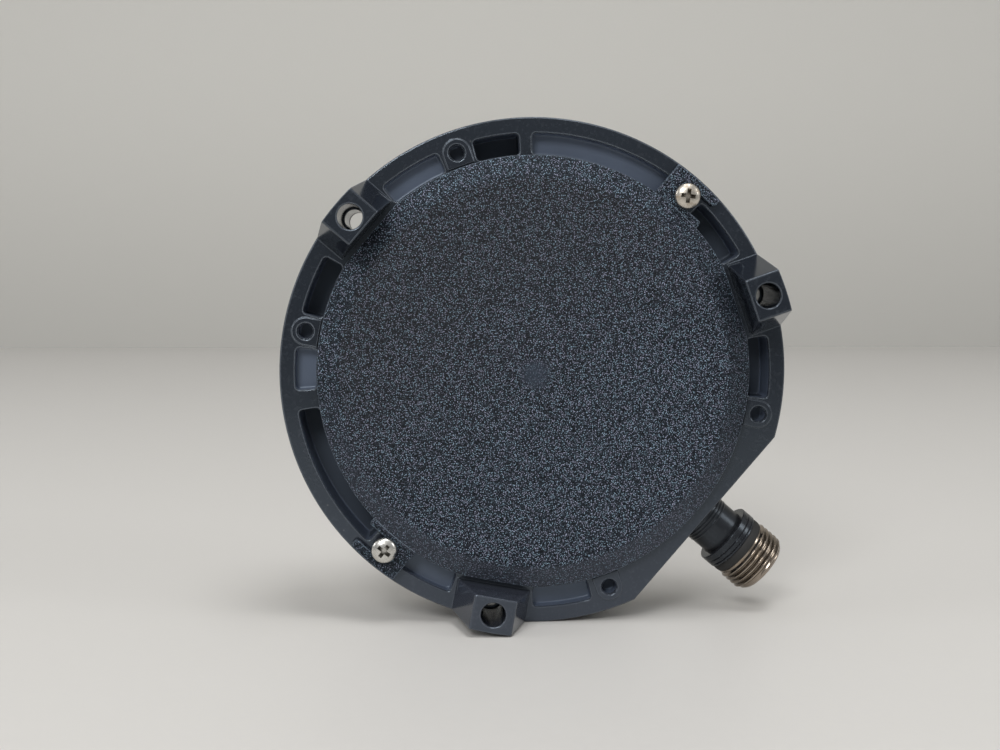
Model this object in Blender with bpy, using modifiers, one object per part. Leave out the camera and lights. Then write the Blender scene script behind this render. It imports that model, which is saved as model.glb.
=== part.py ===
"""Pancake rotary encoder: ring housing with three posts, blank rear cover, round connector and a flanged shaft side.

Lengths are in metres. The pieces are modelled about the shaft axis (local Z, towards the rear cover, with the
connector pointing down local -Y). One empty then lays that axis along world Y and rolls the encoder as it stands.
"""

import math

import bmesh
import bpy
from mathutils import Matrix

# Fits
GAP = 0.0003
WELD = 1e-7

# Stance: how far the encoder is rolled about its axis, in degrees
ROLL = 49.5

# Ring housing
RING_RADIUS = 0.0450
RING_WALL = 0.0093
HOUSING_DEPTH = 0.0150
FLAT_CUT = 0.0044

# Posts for the mounting screws, and their stepped holes
POST_ANGLES = (90, 210, 330)
POST_HEIGHT = 0.0101
POST_FRONT_WIDTH = 0.0074
POST_SIDE_SLOPE = 0.0030
POST_ROOT = 0.0010
POST_CLEARANCE = 0.0004
POST_EDGE_MARGIN = 0.0001
POST_HOLE_INSET = 0.00325
POST_HOLE_RADIUS = 0.00215
POST_HOLE_STEP = 0.0037
POST_HOLE_LOWER_RADIUS = 0.0018

# Pockets in the ring face: start and end angle in degrees, then depth
POCKET_RIM = 0.0028
POCKET_WIDTH = 0.0034
POCKET_CORNER = 0.0007
POCKET_DEEP = 0.0100
POCKET_MIDDLE = 0.0040
POCKET_SHALLOW = 0.0022
POCKETS = (
    (8.5, 38.5, POCKET_MIDDLE),
    (45.0, 55.0, POCKET_DEEP),
    (66.5, 79.8, POCKET_SHALLOW),
    (102.5, 115.5, POCKET_DEEP),
    (124.5, 134.5, POCKET_SHALLOW),
    (139.5, 176.5, POCKET_DEEP),
    (187.5, 199.5, POCKET_MIDDLE),
    (220.5, 234.5, POCKET_MIDDLE),
    (304.3, 317.5, POCKET_DEEP),
    (340.5, 353.5, POCKET_DEEP),
)

# Screws on the six-place circle: two hold the rear cover, four hold the flange from bosses on the ring face
SCREW_INSET = 0.0040
BOSS_RADIUS = 0.00245
BOSS_RISE = 0.00025
COVER_SCREW_ANGLES = (0, 180)
FLANGE_SCREW_ANGLES = (60, 120, 240, 300)
SCREW_SHANK_RADIUS = 0.00105
COVER_SCREW_HEAD_RADIUS = 0.00225
COVER_SCREW_HEAD_HEIGHT = 0.0017
COVER_SCREW_LENGTH = 0.0080
FLANGE_SCREW_HEAD_RADIUS = 0.0025
FLANGE_SCREW_HEAD_HEIGHT = 0.0015
FLANGE_SCREW_LENGTH = 0.0080

# Rear cover
COVER_INSET = 0.0067
COVER_SLOPE = 0.0038
COVER_POST_CLEARANCE = 0.0010
COVER_EDGE_THICKNESS = 0.0012
COVER_CROWN = 0.0015
COVER_WALL = 0.0018
COVER_SKIRT_WALL = 0.0015
COVER_SKIRT_DEPTH = 0.0020
EAR_INSET = 0.0001
EAR_ROOT = 0.0021
EAR_LEADING = 0.0055
EAR_TRAILING = 0.0045
EAR_SLOT_WIDTH = 0.0035

# Face seals of the cover and the flange
SEAL_INSET = 0.0008
SEAL_WIDTH = 0.0008
SEAL_HEIGHT = 0.0006

# Flange on the shaft side
FLANGE_THICKNESS = 0.0030
PILOT_RADIUS = 0.0180
PILOT_LENGTH = 0.0100
BEARING_TUBE_WALL = 0.0032
BEARING_LIP_RADIUS = 0.0082
BEARING_LIP = 0.0010
TUBE_REAR_RIM = 0.0015
HUB_OVERLAP = 0.0012

# Shaft and bearings
SHAFT_RADIUS = 0.0050
SHAFT_LENGTH = 0.0200
SHAFT_FLAT_DISTANCE = 0.0042
SHAFT_FLAT_LENGTH = 0.0150
SHAFT_SHOULDER_RADIUS = 0.0060
SHAFT_CHAMFER = 0.0005
SHAFT_REAR_REACH = 0.0010
BEARING_OUTER_RADIUS = 0.0095
BEARING_WIDTH = 0.0050
INNER_RING_SHARE = 0.29
OUTER_RING_SHARE = 0.36
BALL_SHARE = 0.285
CAGE_SHARE = 0.21
BALL_COUNT = 7
CAGE_WIDTH = 0.0038
SPACER_WIDTH = 0.0017
SPACER_WALL = 0.0012
WASHER_THICKNESS = 0.0006
WASHER_WAVE = 0.0003
RETAINING_THICKNESS = 0.0010
RETAINING_WIDTH = 0.0018
RETAINING_SEAT = 0.0006
RETAINING_OPENING = 40
SHAFT_SEAL_RADIUS = 0.0102
SHAFT_SEAL_WIDTH = 0.0025

# Code disc on its hub
HUB_WALL = 0.0027
HUB_SPIGOT_WALL = 0.0017
HUB_PLATE_RADIUS = 0.0120
HUB_PLATE_THICKNESS = 0.0014
HUB_SLEEVE_LENGTH = 0.0014
DISC_INSET = 0.0090
DISC_THICKNESS = 0.0008
CLAMP_RADIUS = 0.0105
CLAMP_THICKNESS = 0.0012

# Circuit board and what it carries: places are measured in from its rim
BOARD_CLEARANCE = 0.0027
BOARD_FLAT_CUT = 0.0025
BOARD_THICKNESS = 0.0016
BOARD_SCREW_ANGLES = (30, 150, 225)
BOARD_SCREW_INSET = 0.0030
BOARD_SCREW_RADIUS = 0.0010
BOARD_SCREW_HEAD_RADIUS = 0.0020
BOARD_SCREW_HEAD_HEIGHT = 0.0012
BOARD_SCREW_LENGTH = 0.0060
STANDOFF_RADIUS = 0.0026
STANDOFF_ROOT = 0.0010
SENSOR_SIZE = (0.0070, 0.0050, 0.0010)
SENSOR_INSET = 0.0035
WINDOW_SIZE = (0.0050, 0.0038, 0.0005)
PROCESSOR_SIZE = (0.0090, 0.0090, 0.0012)
PROCESSOR_INSET = 0.0095
CAPACITOR_ANGLES = (0, 180)
CAPACITOR_INSET = 0.0090
CAPACITOR_RADIUS = 0.0020
CAPACITOR_HEIGHT = 0.0042
HEADER_SIZE = (0.0110, 0.0045, 0.0036)
HEADER_INSET = 0.0040

# Round connector on the flat: a pad inside the ring, the neck through the wall, and the sleeve
CONNECTOR_DEPTH = 0.0087
PAD_THICKNESS = 0.0008
PAD_ROOT = 0.0026
PAD_START = 0.0025
NECK_RADIUS = 0.00455
NECK_BORE_RADIUS = 0.0036
NECK_COLLAR_RADIUS = 0.0060
NECK_COLLAR_THICKNESS = 0.0020
NECK_REACH = 0.0094
NECK_RIDGE_HEIGHT = 0.0002
NECK_RIDGE_WIDTH = 0.0005
NECK_RIDGE_PITCH = 0.0013
NECK_RIDGES = 2
NECK_SHOWN = 0.0059
SLEEVE_LENGTH = 0.0107
SLEEVE_COLLAR_RADIUS = 0.0057
SLEEVE_COLLAR_LENGTH = 0.0015
SLEEVE_GROOVE_RADIUS = 0.00525
SLEEVE_GROOVE_LENGTH = 0.0018
THREAD_RADIUS = 0.0060
THREAD_PITCH = 0.0010
THREAD_HEIGHT = 0.0006
THREAD_COUNT = 6
INSERT_LENGTH = 0.0030
PIN_CIRCLE = 0.0025
PIN_RADIUS = 0.0005
PIN_TIP_INSET = 0.0010
PIN_TAIL = 0.0010
LEAD_RADIUS = 0.00045
LEAD_PITCH = 0.0018

# Steps round a circle, by size of piece
STEPS_LARGE = 72
STEPS_SEAL = 36
STEPS_MEDIUM = 28
STEPS_SMALL = 20
STEPS_TINY = 10

# Stations along the shaft axis, worked out from the sizes above
EAR_TOP = GAP + COVER_EDGE_THICKNESS
COVER_TOP = EAR_TOP + COVER_CROWN
HOUSING_BACK = -HOUSING_DEPTH
FLANGE_BACK = HOUSING_BACK - GAP
MOUNT_FACE = FLANGE_BACK - FLANGE_THICKNESS
PILOT_FACE = MOUNT_FACE - PILOT_LENGTH
SHAFT_END = PILOT_FACE - SHAFT_LENGTH
SEAL_RECESS = PILOT_FACE + SHAFT_SEAL_WIDTH + GAP
BEARING_SEAT = SEAL_RECESS + BEARING_LIP
FRONT_BEARING = BEARING_SEAT + GAP
SPACER_FRONT = FRONT_BEARING + BEARING_WIDTH + GAP
REAR_BEARING = SPACER_FRONT + SPACER_WIDTH + GAP
REAR_BEARING_BACK = REAR_BEARING + BEARING_WIDTH
WASHER_FRONT = REAR_BEARING_BACK + GAP
WASHER_REACH = WASHER_THICKNESS + 2 * WASHER_WAVE
RETAINER_FRONT = WASHER_FRONT + WASHER_REACH + GAP
TUBE_REAR = RETAINER_FRONT + RETAINING_THICKNESS + GAP + TUBE_REAR_RIM
HUB_FRONT = TUBE_REAR + GAP
HUB_SEAT = HUB_FRONT + HUB_SLEEVE_LENGTH + HUB_PLATE_THICKNESS
DISC_FRONT = HUB_SEAT + GAP
CLAMP_FRONT = DISC_FRONT + DISC_THICKNESS + GAP
SHAFT_REAR = CLAMP_FRONT + CLAMP_THICKNESS + SHAFT_REAR_REACH
WINDOW_TOP = DISC_FRONT - GAP
BOARD_REAR = WINDOW_TOP - WINDOW_SIZE[2] - SENSOR_SIZE[2] - 2 * GAP
BOARD_FRONT = BOARD_REAR - BOARD_THICKNESS

# Radii and reaches that follow from the ring, from the outside in
RING_INNER_RADIUS = RING_RADIUS - RING_WALL
FLAT_DISTANCE = RING_RADIUS - FLAT_CUT
POST_HOLE_CIRCLE = RING_RADIUS - POST_HOLE_INSET
POCKET_OUTER_RADIUS = RING_RADIUS - POCKET_RIM
POCKET_INNER_RADIUS = POCKET_OUTER_RADIUS - POCKET_WIDTH
SCREW_CIRCLE = RING_RADIUS - SCREW_INSET
COVER_RADIUS = RING_RADIUS - COVER_INSET
COVER_FLAT_RADIUS = COVER_RADIUS - COVER_SLOPE
POST_INNER_RADIUS = COVER_RADIUS + POST_CLEARANCE
EAR_RADIUS = RING_RADIUS - EAR_INSET
EAR_ROOT_RADIUS = COVER_RADIUS - EAR_ROOT
SEAL_INNER_RADIUS = RING_INNER_RADIUS + SEAL_INSET
BOARD_RADIUS = RING_INNER_RADIUS - BOARD_CLEARANCE
BOARD_FLAT_DISTANCE = BOARD_RADIUS - BOARD_FLAT_CUT
BOARD_SCREW_CIRCLE = BOARD_RADIUS - BOARD_SCREW_INSET
DISC_RADIUS = BOARD_RADIUS - DISC_INSET
SENSOR_CIRCLE = DISC_RADIUS - SENSOR_INSET
PROCESSOR_CIRCLE = BOARD_RADIUS - PROCESSOR_INSET
CAPACITOR_CIRCLE = BOARD_RADIUS - CAPACITOR_INSET
HEADER_REACH = BOARD_RADIUS - HEADER_INSET
PAD_DISTANCE = RING_INNER_RADIUS - PAD_THICKNESS
PAD_REACH = PAD_DISTANCE + PAD_ROOT
NECK_END = FLAT_DISTANCE + NECK_REACH
SLEEVE_START = FLAT_DISTANCE + NECK_SHOWN
SLEEVE_END = SLEEVE_START + SLEEVE_LENGTH

# Radii that follow from a fit
BEARING_BORE = SHAFT_RADIUS + GAP
BEARING_SECTION = BEARING_OUTER_RADIUS - BEARING_BORE
BALL_RADIUS = BEARING_SECTION * BALL_SHARE
TUBE_BORE = BEARING_OUTER_RADIUS + GAP
TUBE_RADIUS = TUBE_BORE + BEARING_TUBE_WALL
SCREW_HOLE_RADIUS = SCREW_SHANK_RADIUS + GAP
BOARD_HOLE_RADIUS = BOARD_SCREW_RADIUS + GAP
NECK_HOLE_RADIUS = NECK_RADIUS + GAP

CONNECTOR_FRAME = Matrix.Translation((0, 0, -CONNECTOR_DEPTH)) @ Matrix.Rotation(math.pi / 2, 4, "X")


def start_collections():
    """Empty the scene and add one collection for the parts and one for the cutters."""
    for old in list(bpy.data.objects):
        bpy.data.objects.remove(old)
    made = []
    for name in ("rotary_encoder", "cutters"):
        made.append(bpy.data.collections.new(name))
        bpy.context.scene.collection.children.link(made[-1])
    return made


PARTS, CUTTERS = start_collections()


def finish(name, colour, roughness, metallic=0.0):
    """A Principled material of one colour."""
    material = bpy.data.materials.new(name)
    material.use_nodes = True
    shader = material.node_tree.nodes["Principled BSDF"]
    shader.inputs["Base Color"].default_value = (*colour, 1.0)
    shader.inputs["Roughness"].default_value = roughness
    shader.inputs["Metallic"].default_value = metallic
    return material


BLACK_PLASTIC = finish("black_plastic", (0.018, 0.020, 0.024), 0.35)
GRAINED_PLASTIC = finish("grained_plastic", (0.024, 0.027, 0.033), 0.55)
BLACK_RUBBER = finish("black_rubber", (0.012, 0.012, 0.012), 0.8)
STAINLESS = finish("stainless_steel", (0.62, 0.61, 0.58), 0.3, 1.0)
BEARING_STEEL = finish("bearing_steel", (0.58, 0.59, 0.60), 0.2, 1.0)
ALUMINIUM = finish("aluminium", (0.70, 0.71, 0.72), 0.4, 1.0)
NICKEL = finish("nickel_plate", (0.66, 0.63, 0.58), 0.22, 1.0)
BRASS = finish("gilt_brass", (0.80, 0.62, 0.28), 0.25, 1.0)
SPRING_STEEL = finish("spring_steel", (0.20, 0.20, 0.21), 0.35, 1.0)
CAGE_NYLON = finish("cage_nylon", (0.75, 0.70, 0.58), 0.5)
BOARD_GREEN = finish("board_laminate", (0.03, 0.16, 0.07), 0.45)
CHIP_BLACK = finish("chip_resin", (0.02, 0.02, 0.02), 0.5)
WINDOW_GLASS = finish("window_glass", (0.72, 0.80, 0.82), 0.05)
DISC_GLASS = finish("disc_film", (0.35, 0.36, 0.36), 0.15, 0.5)
CAPACITOR_CAN = finish("capacitor_can", (0.60, 0.60, 0.62), 0.3, 1.0)
LEAD_COLOURS = (
    finish("lead_brown", (0.18, 0.07, 0.03), 0.5),
    finish("lead_white", (0.80, 0.80, 0.78), 0.5),
    finish("lead_blue", (0.05, 0.12, 0.45), 0.5),
    finish("lead_black", (0.02, 0.02, 0.02), 0.5),
    finish("lead_grey", (0.35, 0.36, 0.37), 0.5),
)


def scratch_object(data):
    """A hidden working object that holds a mesh or curve while it is shaped."""
    item = bpy.data.objects.new("working_shape", data)
    item.hide_render = True
    item.display_type = "WIRE"
    CUTTERS.objects.link(item)
    return item


def tidied(mesh):
    """Weld a mesh's seams and point its faces out."""
    shape = bmesh.new()
    shape.from_mesh(mesh)
    bmesh.ops.remove_doubles(shape, verts=shape.verts, dist=WELD)
    bmesh.ops.dissolve_degenerate(shape, edges=shape.edges, dist=WELD)
    bmesh.ops.recalc_face_normals(shape, faces=shape.faces)
    shape.to_mesh(mesh)
    shape.free()
    return mesh


def baked(item):
    """The mesh of a working object with its modifiers applied; the object is removed."""
    graph = bpy.context.evaluated_depsgraph_get()
    mesh = bpy.data.meshes.new_from_object(item.evaluated_get(graph))
    bpy.data.objects.remove(item)
    return tidied(mesh)


def moved(mesh, matrix):
    """The same mesh, carried by a matrix."""
    mesh.transform(matrix)
    return mesh


def joined(meshes):
    """Several separate meshes as one, for use as a single cutter."""
    shape = bmesh.new()
    for mesh in meshes:
        shape.from_mesh(mesh)
    result = bpy.data.meshes.new("joined")
    shape.to_mesh(result)
    shape.free()
    return result


def combined(mesh, other, operation):
    """A Boolean of two meshes."""
    item = scratch_object(mesh)
    tool = scratch_object(other)
    change = item.modifiers.new("Boolean", "BOOLEAN")
    change.operation = operation
    change.object = tool
    result = baked(item)
    bpy.data.objects.remove(tool)
    return result


def cut(mesh, cutters):
    """A mesh with separate cutters taken out of it."""
    return combined(mesh, joined(cutters), "DIFFERENCE")


def fused(mesh, others):
    """A mesh united with others that don't touch each other."""
    return combined(mesh, joined(others), "UNION")


def arc(radius, start, end, steps, centre=(0.0, 0.0)):
    """Points of an arc, with angles in degrees and both ends included."""
    angles = [math.radians(start + (end - start) * i / steps) for i in range(steps + 1)]
    return [(centre[0] + radius * math.cos(a), centre[1] + radius * math.sin(a)) for a in angles]


def circle(radius, steps):
    """Points of a whole circle, without repeating the first."""
    return arc(radius, 0, 360, steps)[:-1]


def flatted_circle(radius, flat_distance, steps):
    """A circle with a chord cut off below, square to -Y."""
    half = math.degrees(math.acos(flat_distance / radius))
    return arc(radius, half - 90, 270 - half, steps)


def plate(loops, low, high):
    """A flat outline, with any holes, raised from low to high."""
    curve = bpy.data.curves.new("outline", "CURVE")
    curve.dimensions = "2D"
    curve.fill_mode = "BOTH"
    curve.extrude = (high - low) / 2
    for loop in loops:
        spline = curve.splines.new("POLY")
        spline.points.add(len(loop) - 1)
        for point, (x, y) in zip(spline.points, loop):
            point.co = (x, y, 0, 1)
        spline.use_cyclic_u = True
    return moved(baked(scratch_object(curve)), Matrix.Translation((0, 0, (low + high) / 2)))


def turned(profile, steps):
    """A (radius, height) outline turned about Z. An outline that ends on the axis is left open there."""
    mesh = bpy.data.meshes.new("profile")
    edges = [(i, i + 1) for i in range(len(profile) - 1)]
    if profile[0][0] > 0:
        edges.append((len(profile) - 1, 0))
    mesh.from_pydata([(r, 0, z) for r, z in profile], edges, [])
    item = scratch_object(mesh)
    screw = item.modifiers.new("Screw", "SCREW")
    screw.steps = steps
    screw.render_steps = steps
    screw.use_merge_vertices = True
    screw.merge_threshold = WELD
    return baked(item)


def ring(inner, outer, low, high, steps):
    """A plain turned ring."""
    return turned([(outer, high), (outer, low), (inner, low), (inner, high)], steps)


def rod(radius, low, high, steps, at=(0.0, 0.0)):
    """A closed cylinder along Z."""
    shape = bmesh.new()
    bmesh.ops.create_cone(
        shape, cap_ends=True, segments=steps, radius1=radius, radius2=radius, depth=high - low
    )
    mesh = bpy.data.meshes.new("rod")
    shape.to_mesh(mesh)
    shape.free()
    return moved(mesh, Matrix.Translation((*at, (low + high) / 2)))


def block(low, high):
    """A box between two corners."""
    shape = bmesh.new()
    bmesh.ops.create_cube(shape, size=1.0)
    for vertex in shape.verts:
        for axis in range(3):
            vertex.co[axis] = high[axis] if vertex.co[axis] > 0 else low[axis]
    mesh = bpy.data.meshes.new("block")
    shape.to_mesh(mesh)
    shape.free()
    return mesh


def place(radius, angle):
    """A point on a circle, with the angle in degrees."""
    return radius * math.cos(math.radians(angle)), radius * math.sin(math.radians(angle))


def turned_by(angle):
    """Rotation about the shaft axis, in degrees."""
    return Matrix.Rotation(math.radians(angle), 4, "Z")


def add_part(name, mesh, material):
    """Keep a finished mesh as a named piece, shaded smooth between its sharp edges."""
    mesh.name = name
    mesh.shade_smooth()
    mesh.set_sharp_from_angle(angle=math.radians(35))
    mesh.materials.clear()
    mesh.materials.append(material)
    item = bpy.data.objects.new(name, mesh)
    PARTS.objects.link(item)
    return item


def post(angle):
    """One mounting post: its sides lean out from the front face to the ring, and its back follows the ring's rim."""
    reach = POST_HEIGHT + POST_ROOT
    half_front = POST_FRONT_WIDTH / 2
    half_root = half_front + POST_SIDE_SLOPE * reach / POST_HEIGHT
    mesh = block((POST_INNER_RADIUS, -half_root, -POST_ROOT), (2 * RING_RADIUS, half_root, POST_HEIGHT))
    for vertex in mesh.vertices:
        if vertex.co.z > 0:
            vertex.co.y = math.copysign(half_front, vertex.co.y)
    rim = rod(RING_RADIUS - POST_EDGE_MARGIN, -2 * reach, 2 * reach, STEPS_LARGE)
    return moved(combined(mesh, rim, "INTERSECT"), turned_by(angle))


def boss(angle):
    """Raised pad round one flange screw hole: straight towards the cover and round towards the rim."""
    inner = COVER_RADIUS + GAP
    loop = [(inner, BOSS_RADIUS), (inner, -BOSS_RADIUS)]
    loop += arc(BOSS_RADIUS, -90, 90, 9, (SCREW_CIRCLE, 0.0))
    return moved(plate([loop], -POST_ROOT, BOSS_RISE), turned_by(angle))


def pocket(start, end, depth):
    """One ring-face pocket: a rounded rectangle bent round the axis."""
    middle = (POCKET_INNER_RADIUS + POCKET_OUTER_RADIUS) / 2
    half_width = (POCKET_OUTER_RADIUS - POCKET_INNER_RADIUS) / 2 - POCKET_CORNER
    half_length = math.radians(end - start) / 2 * middle - POCKET_CORNER
    outline = []
    corners = ((1, 1, 0), (-1, 1, 90), (-1, -1, 180), (1, -1, 270))
    for along, across, turn in corners:
        centre = (along * half_length, across * half_width)
        outline += arc(POCKET_CORNER, turn, turn + 90, 2, centre)
        if along != across:
            continue
        steps = max(2, round((end - start) / 6))
        far = -along * half_length
        rim = centre[1] + across * POCKET_CORNER
        outline += [(along * half_length + (far - along * half_length) * i / steps, rim) for i in range(1, steps)]
    bent = []
    for along, across in outline:
        bent.append(place(middle + across, (start + end) / 2 - math.degrees(along / middle)))
    return plate([bent], -depth, POST_ROOT)


def seal_groove(face, side):
    """Cutter for a face seal's groove; side is 1 for a groove below its face and -1 for one above it."""
    depth = (SEAL_HEIGHT + GAP) * side
    inner = SEAL_INNER_RADIUS - GAP
    outer = SEAL_INNER_RADIUS + SEAL_WIDTH + GAP
    low, high = sorted((face - depth, face + depth))
    return ring(inner, outer, low, high, STEPS_SEAL)


def make_housing():
    """Ring with the connector flat, inner pad, posts, pockets, bosses and holes."""
    outline = flatted_circle(RING_RADIUS, FLAT_DISTANCE, STEPS_LARGE)
    body = plate([outline, circle(RING_INNER_RADIUS, STEPS_LARGE)], HOUSING_BACK, 0)
    pad_half = math.sqrt(RING_INNER_RADIUS**2 - PAD_DISTANCE**2)
    pad = block((-pad_half, -PAD_REACH, HOUSING_BACK), (pad_half, -PAD_DISTANCE, -PAD_START))
    raised = [post(angle) for angle in POST_ANGLES] + [boss(angle) for angle in FLANGE_SCREW_ANGLES]
    body = fused(body, raised + [pad])
    cutters = [pocket(*row) for row in POCKETS]
    for angle in POST_ANGLES:
        at = place(POST_HOLE_CIRCLE, angle)
        stepped = [
            (0, 2 * POST_HEIGHT),
            (POST_HOLE_RADIUS, 2 * POST_HEIGHT),
            (POST_HOLE_RADIUS, -POST_HOLE_STEP),
            (POST_HOLE_LOWER_RADIUS, -POST_HOLE_STEP),
            (POST_HOLE_LOWER_RADIUS, 2 * HOUSING_BACK),
            (0, 2 * HOUSING_BACK),
        ]
        cutters.append(moved(turned(stepped, STEPS_SMALL), Matrix.Translation((*at, 0))))
    for angle in FLANGE_SCREW_ANGLES:
        at = place(SCREW_CIRCLE, angle)
        cutters.append(rod(SCREW_HOLE_RADIUS, 2 * HOUSING_BACK, POST_ROOT, STEPS_SMALL, at))
    for angle in COVER_SCREW_ANGLES:
        at = place(SCREW_CIRCLE, angle)
        cutters.append(rod(SCREW_HOLE_RADIUS, -COVER_SCREW_LENGTH, POST_ROOT, STEPS_TINY, at))
    cutters.append(seal_groove(0, 1))
    cutters.append(seal_groove(HOUSING_BACK, -1))
    body = cut(body, cutters)
    bore = rod(NECK_HOLE_RADIUS, PAD_DISTANCE - NECK_COLLAR_THICKNESS, 2 * FLAT_DISTANCE, STEPS_MEDIUM)
    body = cut(body, [moved(bore, CONNECTOR_FRAME)])
    return add_part("main_housing", body, BLACK_PLASTIC)


def ear_outline():
    """Fork-shaped ear of the cover, at angle 0: its screw slot opens on the clockwise side."""
    half_slot = EAR_SLOT_WIDTH / 2
    lead_angle = math.degrees(math.asin(EAR_LEADING / EAR_RADIUS))
    trail_angle = -math.degrees(math.asin(EAR_TRAILING / EAR_RADIUS))
    points = [(EAR_ROOT_RADIUS, EAR_LEADING), (EAR_ROOT_RADIUS, -EAR_TRAILING)]
    points.append((SCREW_CIRCLE - half_slot, -EAR_TRAILING))
    points += arc(half_slot, 180, 0, 8, (SCREW_CIRCLE, 0.0))
    points.append((SCREW_CIRCLE + half_slot, -EAR_TRAILING))
    points += arc(EAR_RADIUS, trail_angle, lead_angle, 8)
    return points


def make_rear_cover():
    """Dished cover with a locating skirt, two forked ears and a flat beside each post."""
    inside = COVER_TOP - COVER_WALL
    skirt = RING_INNER_RADIUS - GAP
    profile = [
        (0, COVER_TOP),
        (COVER_FLAT_RADIUS, COVER_TOP),
        (COVER_RADIUS, EAR_TOP),
        (COVER_RADIUS, GAP),
        (skirt, GAP),
        (skirt, -COVER_SKIRT_DEPTH),
        (skirt - COVER_SKIRT_WALL, -COVER_SKIRT_DEPTH),
        (skirt - COVER_SKIRT_WALL, inside),
        (0, inside),
    ]
    ears = [moved(plate([ear_outline()], GAP, EAR_TOP), turned_by(angle)) for angle in COVER_SCREW_ANGLES]
    body = fused(turned(profile, STEPS_LARGE), ears)
    flat = POST_INNER_RADIUS - COVER_POST_CLEARANCE
    half = POST_FRONT_WIDTH
    trims = []
    for angle in POST_ANGLES:
        trims.append(moved(block((flat, -half, 0), (2 * flat, half, 2 * COVER_TOP)), turned_by(angle)))
    return add_part("rear_cover", cut(body, trims), GRAINED_PLASTIC)


def make_face_seals():
    """Flat rings in the grooves under the cover and over the flange."""
    outer = SEAL_INNER_RADIUS + SEAL_WIDTH
    cover_seal = ring(SEAL_INNER_RADIUS, outer, -SEAL_HEIGHT, 0, STEPS_SEAL)
    flange_seal = ring(SEAL_INNER_RADIUS, outer, HOUSING_BACK, HOUSING_BACK + SEAL_HEIGHT, STEPS_SEAL)
    add_part("cover_seal", cover_seal, BLACK_RUBBER)
    add_part("flange_seal", flange_seal, BLACK_RUBBER)


def pan_screw(head_radius, head_height, shank_radius, length, steps):
    """A screw with a domed head above Z = 0 and its shank below."""
    profile = [
        (0, head_height),
        (head_radius * 0.55, head_height * 0.94),
        (head_radius * 0.88, head_height * 0.66),
        (head_radius, head_height * 0.25),
        (head_radius, 0),
        (shank_radius, 0),
        (shank_radius, shank_radius - length),
        (0, -length),
    ]
    return turned(profile, steps)


def make_housing_screws():
    """Two cover screws from the rear and four flange screws from the shaft side."""
    for number, angle in enumerate(COVER_SCREW_ANGLES, 1):
        length = COVER_SCREW_LENGTH - GAP
        screw = pan_screw(
            COVER_SCREW_HEAD_RADIUS, COVER_SCREW_HEAD_HEIGHT, SCREW_SHANK_RADIUS, length, STEPS_SMALL
        )
        seat = Matrix.Translation((*place(SCREW_CIRCLE, angle), EAR_TOP + GAP))
        add_part(f"cover_screw_{number}", moved(screw, seat), STAINLESS)
    for number, angle in enumerate(FLANGE_SCREW_ANGLES, 1):
        screw = pan_screw(
            FLANGE_SCREW_HEAD_RADIUS, FLANGE_SCREW_HEAD_HEIGHT, SCREW_SHANK_RADIUS, FLANGE_SCREW_LENGTH, STEPS_TINY
        )
        seat = Matrix.Translation((*place(SCREW_CIRCLE, angle), MOUNT_FACE + GAP + FLANGE_SCREW_HEAD_HEIGHT))
        add_part(f"flange_screw_{number}", moved(screw, seat @ Matrix.Rotation(math.pi, 4, "X")), STAINLESS)


def make_flange():
    """Plate with the bearing tube inside, the pilot outside and the board's standoffs."""
    outline = flatted_circle(RING_RADIUS, FLAT_DISTANCE, STEPS_LARGE)
    body = plate([outline, circle(TUBE_RADIUS - HUB_OVERLAP, STEPS_MEDIUM)], MOUNT_FACE, FLANGE_BACK)
    middle = (MOUNT_FACE + FLANGE_BACK) / 2
    groove = TUBE_BORE + RETAINING_SEAT + GAP
    hub = [
        (TUBE_RADIUS, TUBE_REAR),
        (TUBE_RADIUS, middle),
        (PILOT_RADIUS, middle),
        (PILOT_RADIUS, PILOT_FACE),
        (SHAFT_SEAL_RADIUS + GAP, PILOT_FACE),
        (SHAFT_SEAL_RADIUS + GAP, SEAL_RECESS),
        (BEARING_LIP_RADIUS, SEAL_RECESS),
        (BEARING_LIP_RADIUS, BEARING_SEAT),
        (TUBE_BORE, BEARING_SEAT),
        (TUBE_BORE, RETAINER_FRONT - GAP),
        (groove, RETAINER_FRONT - GAP),
        (groove, RETAINER_FRONT + RETAINING_THICKNESS + GAP),
        (TUBE_BORE, RETAINER_FRONT + RETAINING_THICKNESS + GAP),
        (TUBE_BORE, TUBE_REAR),
    ]
    body = fused(body, [turned(hub, STEPS_MEDIUM)])
    seats = [place(BOARD_SCREW_CIRCLE, angle) for angle in BOARD_SCREW_ANGLES]
    top = BOARD_FRONT - GAP
    body = fused(body, [rod(STANDOFF_RADIUS, FLANGE_BACK - STANDOFF_ROOT, top, STEPS_TINY, at) for at in seats])
    cutters = [rod(BOARD_HOLE_RADIUS, FLANGE_BACK - STANDOFF_ROOT, 0, STEPS_TINY, at) for at in seats]
    for angle in POST_ANGLES:
        at = place(POST_HOLE_CIRCLE, angle)
        cutters.append(rod(POST_HOLE_LOWER_RADIUS, 2 * MOUNT_FACE, 0, STEPS_SMALL, at))
    recess = FLANGE_SCREW_HEAD_HEIGHT + 2 * GAP
    for angle in FLANGE_SCREW_ANGLES:
        stepped = [
            (0, 0),
            (SCREW_HOLE_RADIUS, 0),
            (SCREW_HOLE_RADIUS, MOUNT_FACE + recess),
            (FLANGE_SCREW_HEAD_RADIUS + GAP, MOUNT_FACE + recess),
            (FLANGE_SCREW_HEAD_RADIUS + GAP, 2 * MOUNT_FACE),
            (0, 2 * MOUNT_FACE),
        ]
        at = Matrix.Translation((*place(SCREW_CIRCLE, angle), 0))
        cutters.append(moved(turned(stepped, STEPS_TINY), at))
    return add_part("front_flange", cut(body, cutters), ALUMINIUM)


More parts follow.
